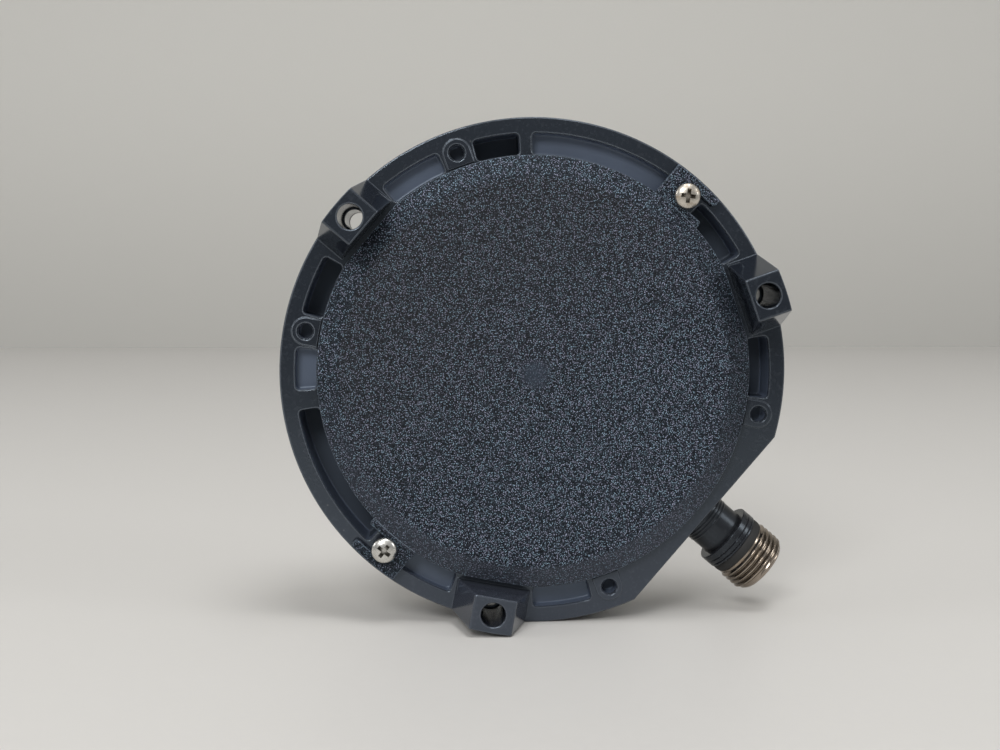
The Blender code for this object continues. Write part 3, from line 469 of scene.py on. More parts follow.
class Graph:
    """Node tree of one material or world, round its shader."""

    def __init__(
        self,
        owner: Union[bpy.types.Material, bpy.types.World],
        shader: str = "BSDF_PRINCIPLED",
        place: str = "Object",
    ) -> None:
        """Take over the owner's nodes.

        Args:
            owner: Material or world.
            shader: Type of the shader that its nodes feed.
            place: Coordinates that patterns are read at.
        """
        owner.use_nodes = True
        self.tree = owner.node_tree
        self.shader = next(n for n in self.tree.nodes if n.type == shader)
        self.place = self.node("ShaderNodeTexCoord", {}, {}, place)

    @staticmethod
    def pick(sockets: bpy.types.bpy_prop_collection, key: Key) -> bpy.types.NodeSocket:
        """Find a socket by number, identifier or name."""
        return next((s for s in sockets if s.identifier == key), None) or sockets[key]

    def feed(self, node: bpy.types.Node, key: Key, value: Value) -> None:
        """Link a signal to a socket, or set the socket to a constant.

        Args:
            node: Node whose input it is.
            key: Number, identifier or name of the socket.
            value: Signal or constant.
        """
        socket = self.pick(node.inputs, key)
        if isinstance(value, Signal):
            self.tree.links.new(value.socket, socket)
        elif isinstance(value, (int, float)):
            socket.default_value = value
        else:
            socket.default_value = (*value, 1.0)[:len(socket.default_value)]

    def node(
        self, kind: str, settings: Mapping[str, object], sockets: Mapping[Key, Value], out: Key = 0
    ) -> Signal:
        """Add a node.

        Args:
            kind: Blender's type name.
            settings: Properties, set before the sockets.
            sockets: Constants or signals of the inputs.
            out: Output that is wanted.

        Returns:
            That output.
        """
        made = self.tree.nodes.new(kind)
        for name, value in settings.items():
            setattr(made, name, value)
        for key, value in sockets.items():
            self.feed(made, key, value)
        return Signal(self, self.pick(made.outputs, out))

    def noise(
        self, scale: float, detail: float = 2.0, roughness: float = 0.5, at: Optional[Signal] = None
    ) -> Signal:
        """Noise in space: features per metre, octaves, their fall-off, and where it is read."""
        sockets = {"Vector": at or self.place, "Scale": scale, "Detail": detail, "Roughness": roughness}
        return self.node("ShaderNodeTexNoise", {}, sockets, "Fac")

    def lines(self, along: Signal, scale: float) -> Signal:
        """Noise along one measure only, for tool marks."""
        sockets = {"W": along * scale, "Scale": 1.0, "Detail": 3.0, "Roughness": 0.6}
        return self.node("ShaderNodeTexNoise", {"noise_dimensions": "1D"}, sockets, "Fac")

    def cells(self, scale: float, feature: str = "F1") -> Signal:
        """Distance from the middles or edges of Voronoi cells."""
        sockets = {"Vector": self.place, "Scale": scale}
        return self.node("ShaderNodeTexVoronoi", {"feature": feature}, sockets, "Distance")

    def mix(self, factor: Number, first: Value, second: Value) -> Signal:
        """Mix two colours by a factor."""
        sockets = {"Factor_Float": factor, "A_Color": first, "B_Color": second}
        return self.node("ShaderNodeMix", {"data_type": "RGBA"}, sockets, "Result_Color")

    def vector(self, operation: str, first: Value, second: Value, out: Key = 0) -> Signal:
        """Add one Vector Math node."""
        return self.node("ShaderNodeVectorMath", {"operation": operation}, {0: first, 1: second}, out)

    def dot(self, first: Value, second: Value) -> Signal:
        """Dot product of two vectors."""
        return self.vector("DOT_PRODUCT", first, second, "Value")

    def openness(self, distance: float, samples: int, own: bool = False) -> Signal:
        """How open a place is, by all pieces near it or by its own piece only."""
        settings = {"samples": samples, "only_local": own}
        return self.node("ShaderNodeAmbientOcclusion", settings, {"Distance": distance}, "AO")

    def about(self, axis: "Axis") -> Tuple[Signal, Signal]:
        """Where a point lies about an axis.

        Args:
            axis: Axis in the CAD frame.

        Returns:
            Distance along the axis, and radius from it.
        """
        offset = self.vector("SUBTRACT", self.place, axis.origin)
        along = self.dot(offset, axis.direction)
        return along, (self.dot(offset, offset) - along * along) ** 0.5

    def rounded(self, radius: float) -> Tuple[Signal, Signal]:
        """Soft edges.

        Args:
            radius: Radius of the rounding.

        Returns:
            The rounded normal, and a mask of the edges.
        """
        soft = self.node("ShaderNodeBevel", {"samples": 6}, {"Radius": radius}, "Normal")
        turn = 1.0 - self.dot(soft, self.node("ShaderNodeNewGeometry", {}, {}, "True Normal"))
        return soft, turn.ramp(*EDGE_TURN) * self.openness(2 * radius, 6).ramp(*EDGE_OPEN)

    def surface(self, colour: Value, roughness: Value, **relief: Value) -> None:
        """Finish the shader.

        Args:
            colour: Base colour.
            roughness: Roughness.
            relief: Inputs of a Bump node by name, if the surface has any relief.
        """
        self.feed(self.shader, "Base Color", colour)
        self.feed(self.shader, "Roughness", roughness)
        if relief:
            sockets = {"Strength": 1.0, **relief}
            self.feed(self.shader, "Normal", self.node("ShaderNodeBump", {}, sockets, "Normal"))


@dataclass(frozen=True)
class Axis:
    """A turning axis in the CAD frame."""

    origin: Triple
    direction: Triple


SHAFT_AXIS = Axis((0.0, 0.0, 0.0), (0.0, 1.0, 0.0))
CONNECTOR_AXIS = Axis(tuple((STAND @ CONNECTOR).translation), tuple(STAND.to_3x3() @ Vector((0, -1, 0))))


@dataclass(frozen=True)
class Finish:
    """What a piece is made of; each kind adds its own detail to the shader."""

    name: str
    slot: str
    colour: Triple
    roughness: float
    metallic: float = 0.0
    sheen: Triple = (1.0, 1.0, 1.0)
    gloss: float = 0.5
    depth: float = 0.01 * MM

    def material(self) -> bpy.types.Material:
        """Make the material, the first time it is asked for.

        Returns:
            The material.
        """
        made = bpy.data.materials.get(self.name)
        if made is None:
            made = bpy.data.materials.new(self.name)
            graph = Graph(made)
            graph.feed(graph.shader, "Metallic", self.metallic)
            graph.feed(graph.shader, "Specular Tint", self.sheen)
            graph.feed(graph.shader, "Specular IOR Level", self.gloss)
            self.dress(graph)
        return made

    def shade(self, factor: float) -> Triple:
        """The colour, lightened or darkened by a factor."""
        red, green, blue = self.colour
        return red * factor, green * factor, blue * factor

    def dress(self, graph: Graph) -> None:
        """Add mottling and a fine relief.

        Args:
            graph: Nodes of the material.
        """
        mottle = graph.noise(400.0, 3.0)
        colour = graph.mix(mottle, self.shade(0.85), self.shade(1.15))
        roughness = self.roughness * (0.8 + mottle * 0.4)
        graph.surface(colour, roughness, Height=graph.noise(2500.0), Distance=self.depth)


@dataclass(frozen=True)
class EtchedPocketsWithPaintedLight:
    """Ring of open pockets whose floors and outer walls are paler than the face round them. The paler shallow
    floors are partly a matte etched finish and partly painted light; the paler deep floors and outer walls
    are painted light.
    """

    inner: float = POCKET_INNER
    outer: float = POCKET_OUTER
    mouth: float = SHAFT_END + 0.3 * MM
    shallow: float = SHAFT_END + 2.9 * MM
    deep: float = 5.4 * MM
    soft: float = 0.15 * MM

    def masks(self, graph: Graph) -> Tuple[Signal, Signal, Signal]:
        """Where the pockets are.

        Args:
            graph: Nodes of the material.

        Returns:
            Masks of the shallow floors, of the deep floors, and of the walls on the rim's side.
        """
        soft, end = self.soft, self.shallow + self.deep
        along, radius = graph.about(SHAFT_AXIS)
        below = along.ramp(self.mouth, self.mouth + 2 * soft)
        beyond = along.ramp(self.shallow, self.shallow + soft)
        outer = radius.ramp(self.outer - 2 * soft, self.outer - soft)
        across = radius.ramp(self.inner - soft, self.inner) * (1.0 - outer) * below
        walls = outer * (1.0 - radius.ramp(self.outer + soft, self.outer + 2 * soft)) * below
        return across * (1.0 - beyond), across * beyond * (1.0 - along.ramp(end, end + 4 * soft)), walls


@dataclass(frozen=True)
class MouldedPlastic(Finish):
    """Smooth moulded plastic with slight flow marks, fine scuffs and dust, painted edge highlights, a painted
    reflection of the table at its foot and paler pockets.
    """

    depth: float = 0.0015 * MM
    stretch: Triple = (900.0, 900.0, 90.0)
    lit_span: Point = (-45 * MM, 25 * MM)
    foot_span: Point = (-42 * MM, -12 * MM)
    haze: Triple = (0.34, 0.37, 0.42)
    dust: Triple = (0.42, 0.42, 0.40)
    # Painted reflection of the table, paler towards the foot: its share and colour
    foot_reflection: float = 0.0
    foot: Triple = (0.034, 0.038, 0.051)
    edge: float = 0.30 * MM
    # Colour of the painted edge highlights
    edge_highlight: Triple = (0.20, 0.225, 0.26)
    # Paler pockets: partly a matte etched finish, partly painted light
    etched_pockets_with_painted_light: Optional[EtchedPocketsWithPaintedLight] = None

    def dress(self, graph: Graph) -> None:
        """Add flow marks to the gloss, orange peel and dust, a painted reflection of the table at the foot,
        paler pockets that are partly painted light, and painted edge highlights, stronger on the lit side.

        Args:
            graph: Nodes of the material.
        """
        flow, fine = graph.noise(60.0, 3.0), graph.noise(1600.0)
        stretched = graph.vector("MULTIPLY", graph.place, self.stretch)
        scuffs = graph.noise(1.0, at=stretched).ramp(0.62, 0.72)
        specks = (1.0 - graph.cells(420.0).ramp(0.05, 0.09)) * graph.noise(90.0).ramp(0.52, 0.62)
        upper = graph.dot(graph.place, LIT_SIDE).ramp(*self.lit_span)
        low = 1.0 - graph.dot(graph.place, UP).ramp(*self.foot_span)
        colour = graph.mix(flow, self.shade(0.82), self.shade(1.18))
        # Painted reflection of the table, paler towards the foot
        colour = graph.mix(low * self.foot_reflection, colour, self.foot)
        colour = graph.mix(fine.ramp(0.5, 0.8) * 0.035, colour, self.haze)
        colour = graph.mix(specks * 0.10, colour, self.dust)
        roughness = self.roughness * (0.75 + flow * 0.35) + fine * 0.03 + scuffs * 0.05
        if self.etched_pockets_with_painted_light is not None:
            floors, beds, walls = self.etched_pockets_with_painted_light.masks(graph)
            # Paler shallow floors are partly a matte finish and partly painted light; the paler deep floors
            # and outer walls are painted light
            colour = graph.mix(floors * (0.35 + flow * 1.1), colour, self.shade(8.5))
            colour = graph.mix(beds, colour, self.shade(2.8))
            colour = graph.mix(walls, colour, self.shade(9.0))
            roughness = roughness + (floors + walls) * 0.2 + beds * 0.5
        normal, edges = graph.rounded(self.edge)
        # Painted highlights on the edges, stronger on the lit side
        highlight_share = edges * (0.25 + flow * 0.9) * (0.30 + upper * 0.75)
        colour = graph.mix(highlight_share, colour, self.edge_highlight)
        graph.surface(colour, roughness, Height=fine + flow * 0.8, Distance=self.depth, Normal=normal)


@dataclass(frozen=True)
class GrainedPlastic(Finish):
    """Coarse moulded grain with painted glints on its pebbles and painted shade in its hollows, smoother
    round the moulding gate in the middle.
    """

    grain: float = 0.36 * MM
    depth: float = 0.14 * MM
    gate: float = 3.6 * MM
    slope_start: float = COVER_FACE
    slope_width: float = 3.8 * MM
    slope_blend: Point = (-0.6 * MM, 0.4 * MM)
    lit_span: Point = (-18 * MM, 26 * MM)
    foot_span: Point = (-36 * MM, 2 * MM)
    # Colours of the painted glints
    cool_glint: Triple = (0.34, 0.48, 0.61)
    warm_glint: Triple = (0.40, 0.42, 0.57)
    edge: float = 0.25 * MM
    # Colour of the painted edge highlights
    edge_highlight: Triple = (0.17, 0.21, 0.26)
    # Painted shade over the upper part of the face
    upper_shade: Triple = (0.0150, 0.0130, 0.0135)
    # Painted reflection of the table on the lower slope
    slope_reflection: Triple = (0.058, 0.064, 0.082)

    def dress(self, graph: Graph) -> None:
        """Build the grain; paint shade in its hollows and over the upper face, glints on its peaks,
        highlights on its edges and a reflection of the table on the lower slope; pale the gate.

        Args:
            graph: Nodes of the material.
        """
        start, end = self.slope_start, self.slope_start + self.slope_width
        before, after = self.slope_blend
        _, radius = graph.about(SHAFT_AXIS)
        face = radius.ramp(0.25 * self.gate, self.gate)
        outside = radius.ramp(start + before, start + after)
        slope = outside * (1.0 - radius.ramp(end, end + after))
        upper = graph.dot(graph.place, LIT_SIDE).ramp(*self.lit_span)
        low = 1.0 - graph.dot(graph.place, UP).ramp(*self.foot_span)
        coarse = graph.noise(1.0 / self.grain, 1.5, 0.55)
        fine = graph.noise(3.0 / self.grain)
        pebbles = 1.0 - graph.cells(0.8 / self.grain, "SMOOTH_F1")
        relief = (coarse.ramp(0.30, 0.70) * 0.75 + pebbles * 0.25 + fine * 0.10) * (0.40 + face * 0.60)
        hollows = 1.0 - coarse.ramp(0.38, 0.53)
        peaks = (1.0 - graph.cells(1.35 / self.grain).ramp(0.22, 0.46)) * fine.ramp(0.30, 0.55)
        peaks = peaks ** (outside * 0.6 + 1.2)
        highlight_share = 0.82 - upper * 0.27 + outside * (upper * 0.65 - 0.35)
        glint = graph.mix(graph.noise(0.4 / self.grain).ramp(0.42, 0.58), self.cool_glint, self.warm_glint)
        # Painted shade in the grain's hollows
        colour = graph.mix(hollows, self.shade(1.1), self.shade(0.25))
        # Painted shade over the upper part of the face
        colour = graph.mix(upper * (0.6 - outside * 0.6), colour, self.upper_shade)
        # Painted reflection of the table on the lower slope
        colour = graph.mix(low * slope * 0.50, colour, self.slope_reflection)
        colour = graph.mix(0.55 - face * 0.55, colour, self.shade(3.8))
        # Painted glints on the grain's peaks, strongest on the upper slope and lower face, weakest on the
        # lower slope
        colour = graph.mix(peaks * highlight_share * (0.25 + face * 0.75), colour, glint)
        normal, edges = graph.rounded(self.edge)
        # Painted highlights on the edges, broken up by noise
        colour = graph.mix(edges * graph.noise(90.0).ramp(0.15, 0.60), colour, self.edge_highlight)
        roughness = self.roughness + hollows * 0.3 + fine * 0.08
        graph.surface(colour, roughness, Height=relief, Distance=self.depth, Normal=normal)


@dataclass(frozen=True)
class Rubber(Finish):
    """Dull rubber with fine pores and a bloom."""

    depth: float = 0.02 * MM

    def dress(self, graph: Graph) -> None:
        """Add the bloom and the pores.

        Args:
            graph: Nodes of the material.
        """
        bloom = graph.noise(500.0, 4.0)
        colour = graph.mix(bloom, self.shade(0.7), self.shade(1.6))
        relief = graph.cells(3000.0) * 0.5 + bloom
        graph.surface(colour, self.roughness + bloom * 0.12, Height=relief, Distance=self.depth)


@dataclass(frozen=True)
class TurnedMetal(Finish):
    """Metal with tool marks round an axis, a slight tarnish, and darkening in its crevices that is partly
    soiling and partly painted shade.
    """

    metallic: float = 1.0
    axis: Axis = SHAFT_AXIS
    marks: float = 9000.0
    depth: float = 0.004 * MM
    tarnish: Triple = (0.30, 0.22, 0.14)
    stain: float = 0.10
    # Darkening where the piece shuts itself in: partly soiling, partly painted shade
    crevice: float = 0.8 * MM
    crevice_darkening: float = 0.8
    soiling_and_shade: Triple = (0.05, 0.042, 0.03)

    def dress(self, graph: Graph) -> None:
        """Add tool marks along the axis and outward from it, then stains, and darkening in crevices that is
        partly soiling and partly painted shade.

        Args:
            graph: Nodes of the material.
        """
        along, radius = graph.about(self.axis)
        marks = graph.lines(along + radius, self.marks)
        rings = graph.lines(along + radius, 0.15 * self.marks)
        cloud = graph.noise(350.0, 3.0)
        stains = graph.noise(700.0, 4.0, 0.6).ramp(0.50, 0.72)
        # Darkening in crevices, partly soiling and partly painted shade
        soiling_and_shade = 1.0 - graph.openness(self.crevice, 8, own=True).ramp(0.42, 0.92)
        colour = graph.mix(cloud * 0.4 + rings * 0.6, self.shade(0.88), self.shade(1.10))
        colour = graph.mix(stains * self.stain, colour, self.tarnish)
        colour = graph.mix(soiling_and_shade * self.crevice_darkening, colour, self.soiling_and_shade)
        roughness = self.roughness * (0.55 + marks * 0.5 + rings * 0.3) + cloud * 0.06
        roughness = roughness + stains * (0.5 * self.stain) + soiling_and_shade * 0.15
        graph.surface(colour, roughness, Height=marks, Distance=self.depth)


@dataclass(frozen=True)
class Laminate(Finish):
    """Circuit board with copper paths under its lacquer."""

    depth: float = 0.03 * MM
    copper: Triple = (0.10, 0.30, 0.12)

    def dress(self, graph: Graph) -> None:
        """Add the paths and the weave.

        Args:
            graph: Nodes of the material.
        """
        paths = graph.cells(260.0, "DISTANCE_TO_EDGE").ramp(0.10, 0.16)
        weave = graph.noise(2200.0)
        colour = graph.mix(paths, self.copper, self.colour)
        relief = (1.0 - paths) + weave * 0.2
        graph.surface(colour, self.roughness + weave * 0.1, Height=relief, Distance=self.depth)


@dataclass(frozen=True)
class CodeFilm(Finish):
    """Disc with a track of dark bars round its rim."""

    depth: float = 0.004 * MM
    bars: int = 128
    track: Point = (17.5 * MM, 22.5 * MM)
    soft: float = 0.01
    dark: Triple = (0.02, 0.02, 0.02)

    def dress(self, graph: Graph) -> None:
        """Lay the bars between the two radii of the track.

        Args:
            graph: Nodes of the material.
        """
        _, radius = graph.about(SHAFT_AXIS)
        across = graph.dot(graph.place, ACROSS)
        turn = across.math("ARCTAN2", across, graph.dot(graph.place, UP)) * self.bars
        inner, outer = self.track
        inside = radius.ramp(inner, inner * (1 + self.soft))
        outside = radius.ramp(outer * (1 - self.soft), outer)
        track = turn.math("SINE", turn).ramp(-0.15, 0.15) * inside * (1.0 - outside)
        colour = graph.mix(track, self.colour, self.dark)
        roughness = self.roughness + graph.noise(300.0) * 0.1
        graph.surface(colour, roughness, Height=track, Distance=self.depth)


@dataclass(frozen=True)
class Backdrop(Finish):
    """Plain painted board of the studio, darker by a share at its foot or at its front; that darkening is
    painted shade.
    """

    speckle: float = 0.02
    foot: float = 0.0
    foot_span: Point = (-0.10, 0.20)
    front: float = 0.0
    front_span: Point = (0.32, 0.42)

    def dress(self, graph: Graph) -> None:
        """Add a faint speckle, and paint shade over the foot of an upright board or the front of a level one.

        Args:
            graph: Nodes of the material.
        """
        speckle = graph.noise(700.0, 3.0)
        colour = graph.mix(speckle, self.shade(1.0 - self.speckle), self.shade(1.0 + self.speckle))
        # Painted shade towards the foot of an upright board
        if self.foot > 0:
            low = 1.0 - graph.dot(graph.place, UP).ramp(*self.foot_span)
            colour = graph.mix(low, colour, self.shade(1.0 - self.foot))
        # Painted shade over the front of a level board
        if self.front > 0:
            near = graph.dot(graph.place, AHEAD).ramp(*self.front_span)
            colour = graph.mix(near, colour, self.shade(1.0 - self.front))
        graph.surface(colour, self.roughness + speckle * 0.1)


COOL = (0.74, 0.87, 1.0)
BLACK_PLASTIC = MouldedPlastic(
    "black_moulding", "black_plastic", (0.0105, 0.0130, 0.0185), 0.14, sheen=COOL, gloss=0.70,
    foot_reflection=0.7, etched_pockets_with_painted_light=EtchedPocketsWithPaintedLight()
)
NECK_PLASTIC = MouldedPlastic(
    "neck_moulding", "black_plastic", (0.012, 0.012, 0.014), 0.30, sheen=COOL, edge=0.08 * MM
)
COLLAR_PLASTIC = replace(NECK_PLASTIC, name="collar_moulding", colour=(0.011, 0.011, 0.013), roughness=0.22)
INSERT_PLASTIC = MouldedPlastic("insert_moulding", "black_plastic", (0.014, 0.014, 0.015), 0.42)
CAGE_PLASTIC = MouldedPlastic("cage_moulding", "cage_nylon", (0.75, 0.70, 0.58), 0.45)
GRAINED_PLASTIC = GrainedPlastic(
    "grained_moulding", "grained_plastic", (0.0110, 0.0140, 0.0200), 0.26, sheen=COOL, gloss=0.22
)
BLACK_RUBBER = Rubber("ring_rubber", "black_rubber", (0.012, 0.012, 0.012), 0.62)
SEAL_RUBBER = Rubber("seal_rubber", "black_rubber", (0.016, 0.015, 0.014), 0.55)
SCREW_STEEL = TurnedMetal("screw_steel", "stainless_steel", (0.60, 0.59, 0.56), 0.26, stain=0.15)
STAINED_STEEL = TurnedMetal("stained_screw_steel", "stainless_steel", (0.56, 0.52, 0.46), 0.28, stain=0.75)
SHAFT_STEEL = TurnedMetal(
    "ground_steel", "stainless_steel", (0.62, 0.61, 0.58), 0.20, marks=14000.0, stain=0.05
)
# Its wide crevice darkening is painted shade in its holes
FLANGE_METAL = TurnedMetal(
    "turned_aluminium", "aluminium", (0.66, 0.67, 0.68), 0.34, marks=5000.0, stain=0.04,
    crevice=5.0 * MM, crevice_darkening=0.85
)
# Its dark, brownish colour is partly the plating's tone and partly a painted reflection of dark surroundings
PLATED_METAL = TurnedMetal(
    "nickel_plating", "nickel_plate", (0.34, 0.29, 0.24), 0.11, axis=CONNECTOR_AXIS, marks=6000.0, stain=0.45
)
PIN_METAL = TurnedMetal("gilt_pins", "gilt_brass", (0.80, 0.60, 0.26), 0.22, axis=CONNECTOR_AXIS, stain=0.05)
BEARING_METAL = TurnedMetal("bearing_races", "bearing_steel", (0.58, 0.59, 0.60), 0.16, stain=0.03)
SPRING_METAL = TurnedMetal("spring_strip", "spring_steel", (0.20, 0.20, 0.21), 0.34, stain=0.2)
CAN_METAL = TurnedMetal("capacitor_cans", "capacitor_can", (0.60, 0.60, 0.62), 0.30, stain=0.02)
BOARD_LAMINATE = Laminate("board_lacquer", "board_laminate", (0.03, 0.16, 0.07), 0.38)
CHIP_RESIN = Finish("chip_mould", "chip_resin", (0.020, 0.020, 0.021), 0.50)
WINDOW_GLASS = Finish("window_pane", "window_glass", (0.72, 0.80, 0.82), 0.06)
DISC_FILM = CodeFilm("disc_tracks", "disc_film", (0.38, 0.39, 0.39), 0.14, 0.5)
LEAD_COLOURS = {
    "brown": (0.18, 0.07, 0.03),
    "white": (0.80, 0.80, 0.78),
    "blue": (0.05, 0.12, 0.45),
    "black": (0.02, 0.02, 0.02),
    "grey": (0.35, 0.36, 0.37),
}
TABLE = Backdrop("studio_table", "", (0.61, 0.595, 0.57), 0.42, front=0.7)
WALL = Backdrop("studio_wall", "", (0.66, 0.65, 0.615), 0.80, foot=0.21)


@dataclass
class RingHousing:
    """Ring with its posts, pockets, screw bosses and connector flat."""

    inner: float = 35.7 * MM
    depth: float = 15.0 * MM
    edge: float = 0.16 * MM
    root: float = 1.0 * MM
    post_height: float = 10.1 * MM
    post_width: float = 7.4 * MM
    post_slope: float = 3.0 * MM
    post_inner: float = 38.7 * MM
    post_outer: float = 44.9 * MM
    post_edge: float = 0.28 * MM
    hole_radius: float = 2.15 * MM
    hole_step: float = 3.7 * MM
    hole_lower: float = 1.8 * MM
    boss_radius: float = 2.45 * MM
    boss_rise: float = 0.30 * MM
    boss_start: float = 38.6 * MM
    boss_chords: int = 24
    boss_rounding: Tuple[Point, ...] = ((0.0, 0.3), (0.05 * MM, 0.75), (0.18 * MM, 1.0))
    screw_hole: float = 1.30 * MM
    screw_chamfer: float = 0.30 * MM
    blind_depth: float = 3.0 * MM
    web: float = 3.0 * MM
    cover_screw_depth: float = 8.0 * MM
    pocket_corner: float = 0.7 * MM
    pocket_fillet: float = 0.4 * MM
    fillet_chords: int = 3
    pocket_chord: float = 1.2 * MM
    pockets: Tuple[Triple, ...] = (
        (5.6, 41.2, 2.4 * MM),
        (44.4, 55.6, 6.5 * MM),
        (64.4, 79.7, 2.2 * MM),
        (101.2, 115.8, 6.5 * MM),
        (124.2, 134.5, 2.2 * MM),
        (139.5, 176.0, 8.0 * MM),
        (185.0, 199.6, 2.4 * MM),
        (220.4, 235.0, 2.4 * MM),
        (304.2, 319.5, 6.5 * MM),
        (340.5, 356.0, 6.5 * MM),
    )
    seal_inner: float = 36.2 * MM
    seal_outer: float = 37.6 * MM
    seal_depth: float = 0.9 * MM
    pad_distance: float = 34.9 * MM
    pad_reach: float = 37.5 * MM
    pad_start: float = 2.5 * MM
    neck_hole: float = 4.85 * MM
    neck_hole_start: float = 32.9 * MM

    def post(self, angle: float) -> Solid:
        """One post: sides that lean out to the ring, soft edges, and a back that follows the rim.

        Args:
            angle: Where it stands, in degrees.

        Returns:
            The post.
        """
        top, edge, beyond = self.post_height, self.post_edge, 2 * self.post_outer
        rows = []
        for inset, height in eased(-self.root, top, edge):
            wide = self.post_width / 2 + self.post_slope * (top - height) / top - inset
            near = self.post_inner + inset
            corners = [(near, -wide, edge), (beyond, -wide, 0), (beyond, wide, 0), (near, wide, edge)]
            rows.append((filleted(corners), height))
        rim = Solid.rod(self.post_outer, -2 * top, 2 * top, Chords.RIM)
        return Solid.stacked(rows).combined([rim], Joining.INTERSECT).moved(rolled(angle))

    def boss_outline(self, inset: float) -> Loop:
        """Outline of one boss: straight towards the cover and round towards the rim."""
        half, start = self.boss_radius - inset, self.boss_start
        return [(start, half), (start, -half)] + arc(half, -90, 90, self.boss_chords, (SCREW_CIRCLE, 0.0))

    def boss(self, angle: float) -> Solid:
        """Raised pad round the screw hole at an angle."""
        rows = [(inset, share * self.boss_rise) for inset, share in self.boss_rounding]
        return Solid.layered(self.boss_outline, [(0.0, -self.root)] + rows).moved(rolled(angle))

    def pocket_outline(self, start: float, end: float, grown: float) -> Loop:
        """A rounded rectangle bent round the axis.

        Args:
            start: First angle in degrees.
            end: Last angle in degrees.
            grown: How far every side stands outside the pocket's own outline.

        Returns:
            The outline, with the same number of points whatever its growth.
        """
        middle = (POCKET_INNER + POCKET_OUTER) / 2
        length = math.radians(end - start) * middle
        far, side = length / 2 + grown, (POCKET_OUTER - POCKET_INNER) / 2 + grown
        corners = [(far, -side), (far, side), (-far, side), (-far, -side)]
        straight = filleted([(x, y, self.pocket_corner + grown) for x, y in corners])
        bent: Loop = []
        for i, (x, y) in enumerate(straight):
            last_x, last_y = straight[i - 1]
            long_side = abs(x - last_x) > 2 * self.pocket_corner
            chords = max(2, round(length / self.pocket_chord)) if long_side else 1
            for j in range(1, chords + 1):
                along = last_x + (x - last_x) * j / chords
                across = last_y + (y - last_y) * j / chords
                bent.append(on_circle(middle + across, (start + end) / 2 - math.degrees(along / middle)))
        return bent

    def pocket(self, start: float, end: float, depth: float) -> Solid:
        """Cutter of one pocket, with a rounded foot and a chamfered mouth.

        Args:
            start: First angle in degrees.
            end: Last angle in degrees.
            depth: Depth below the face.

        Returns:
            The cutter.
        """
        fillet, edge = self.pocket_fillet, self.edge
        quarter = arc(1.0, 0, 90, self.fillet_chords)
        rows = [(fillet * (y - 1), fillet * (1 - x) - depth) for x, y in quarter]
        rows += [(0.0, -edge), (edge, 0.0), (edge + self.root, self.root)]
        return Solid.layered(lambda grown: self.pocket_outline(start, end, grown), rows)

    def holes(self) -> List[Solid]:
        """Cutters of the stepped post holes and the screw holes.

        Returns:
            The cutters.
        """
        through, root, top = -2 * self.depth, self.root, self.post_height
        wide, narrow, step = self.hole_radius, self.hole_lower, -self.hole_step
        stepped = [(0, top + root), (wide + self.edge + root, top + root), (wide, top - self.edge)]
        stepped += [(wide, step), (narrow, step), (narrow, through), (0, through)]
        hole, chamfer, blind = self.screw_hole, self.screw_chamfer, -self.blind_depth
        mouth = hole + chamfer + root - self.boss_rise
        front = [(0, root), (mouth, root), (hole, self.boss_rise - chamfer), (hole, blind), (0, blind)]
        back, sides = bar(hole, through, blind - self.web), bar(hole, -self.cover_screw_depth, root)
        made = Solid.copies(stepped, Chords.SCREW_HEAD, POST_CIRCLE, POST_ANGLES)
        fronts = Solid.copies(front, Chords.BOSS_HOLE, SCREW_CIRCLE, BOSS_ANGLES)
        backs = Solid.copies(back, Chords.ROD, SCREW_CIRCLE, BOSS_ANGLES)
        made += [cutter for pair in zip(fronts, backs) for cutter in pair]
        return made + Solid.copies(sides, Chords.ROD, SCREW_CIRCLE, EAR_ANGLES)

    def groove(self, face: float) -> Solid:
        """Cutter of the seal groove in one face."""
        rows = [(self.seal_outer, 1), (self.seal_outer, -1), (self.seal_inner, -1), (self.seal_inner, 1)]
        return Solid.turned([(radius, face + side * self.seal_depth) for radius, side in rows], Chords.HUB)

    def build(self) -> Pieces:
        """Shape the housing and put it in place.

        Returns:
            Its one piece.
        """
        bore = Solid.rod(self.inner, -2 * self.depth, self.depth, Chords.BODY)
        body = rim_disc(-self.depth, 0.0, self.edge).cut(bore)
        half = math.sqrt(self.inner**2 - self.pad_distance**2)
        pad = Solid.block((-half, -self.pad_reach, -self.depth), (half, -self.pad_distance, -self.pad_start))
        raised = [self.post(angle) for angle in POST_ANGLES] + [self.boss(angle) for angle in BOSS_ANGLES]
        cutters = [self.pocket(*row) for row in self.pockets] + self.holes()
        cutters += [self.groove(0.0), self.groove(-self.depth)]
        neck = Solid.rod(self.neck_hole, self.neck_hole_start, 2 * CONNECTOR_FLAT, Chords.INSERT)
        body = body.fused(pad, *raised).cut(*cutters).cut(neck.moved(CONNECTOR))
        return [body.piece("housing_shell", BLACK_PLASTIC, Carrier.HOUSING, "main_housing")]


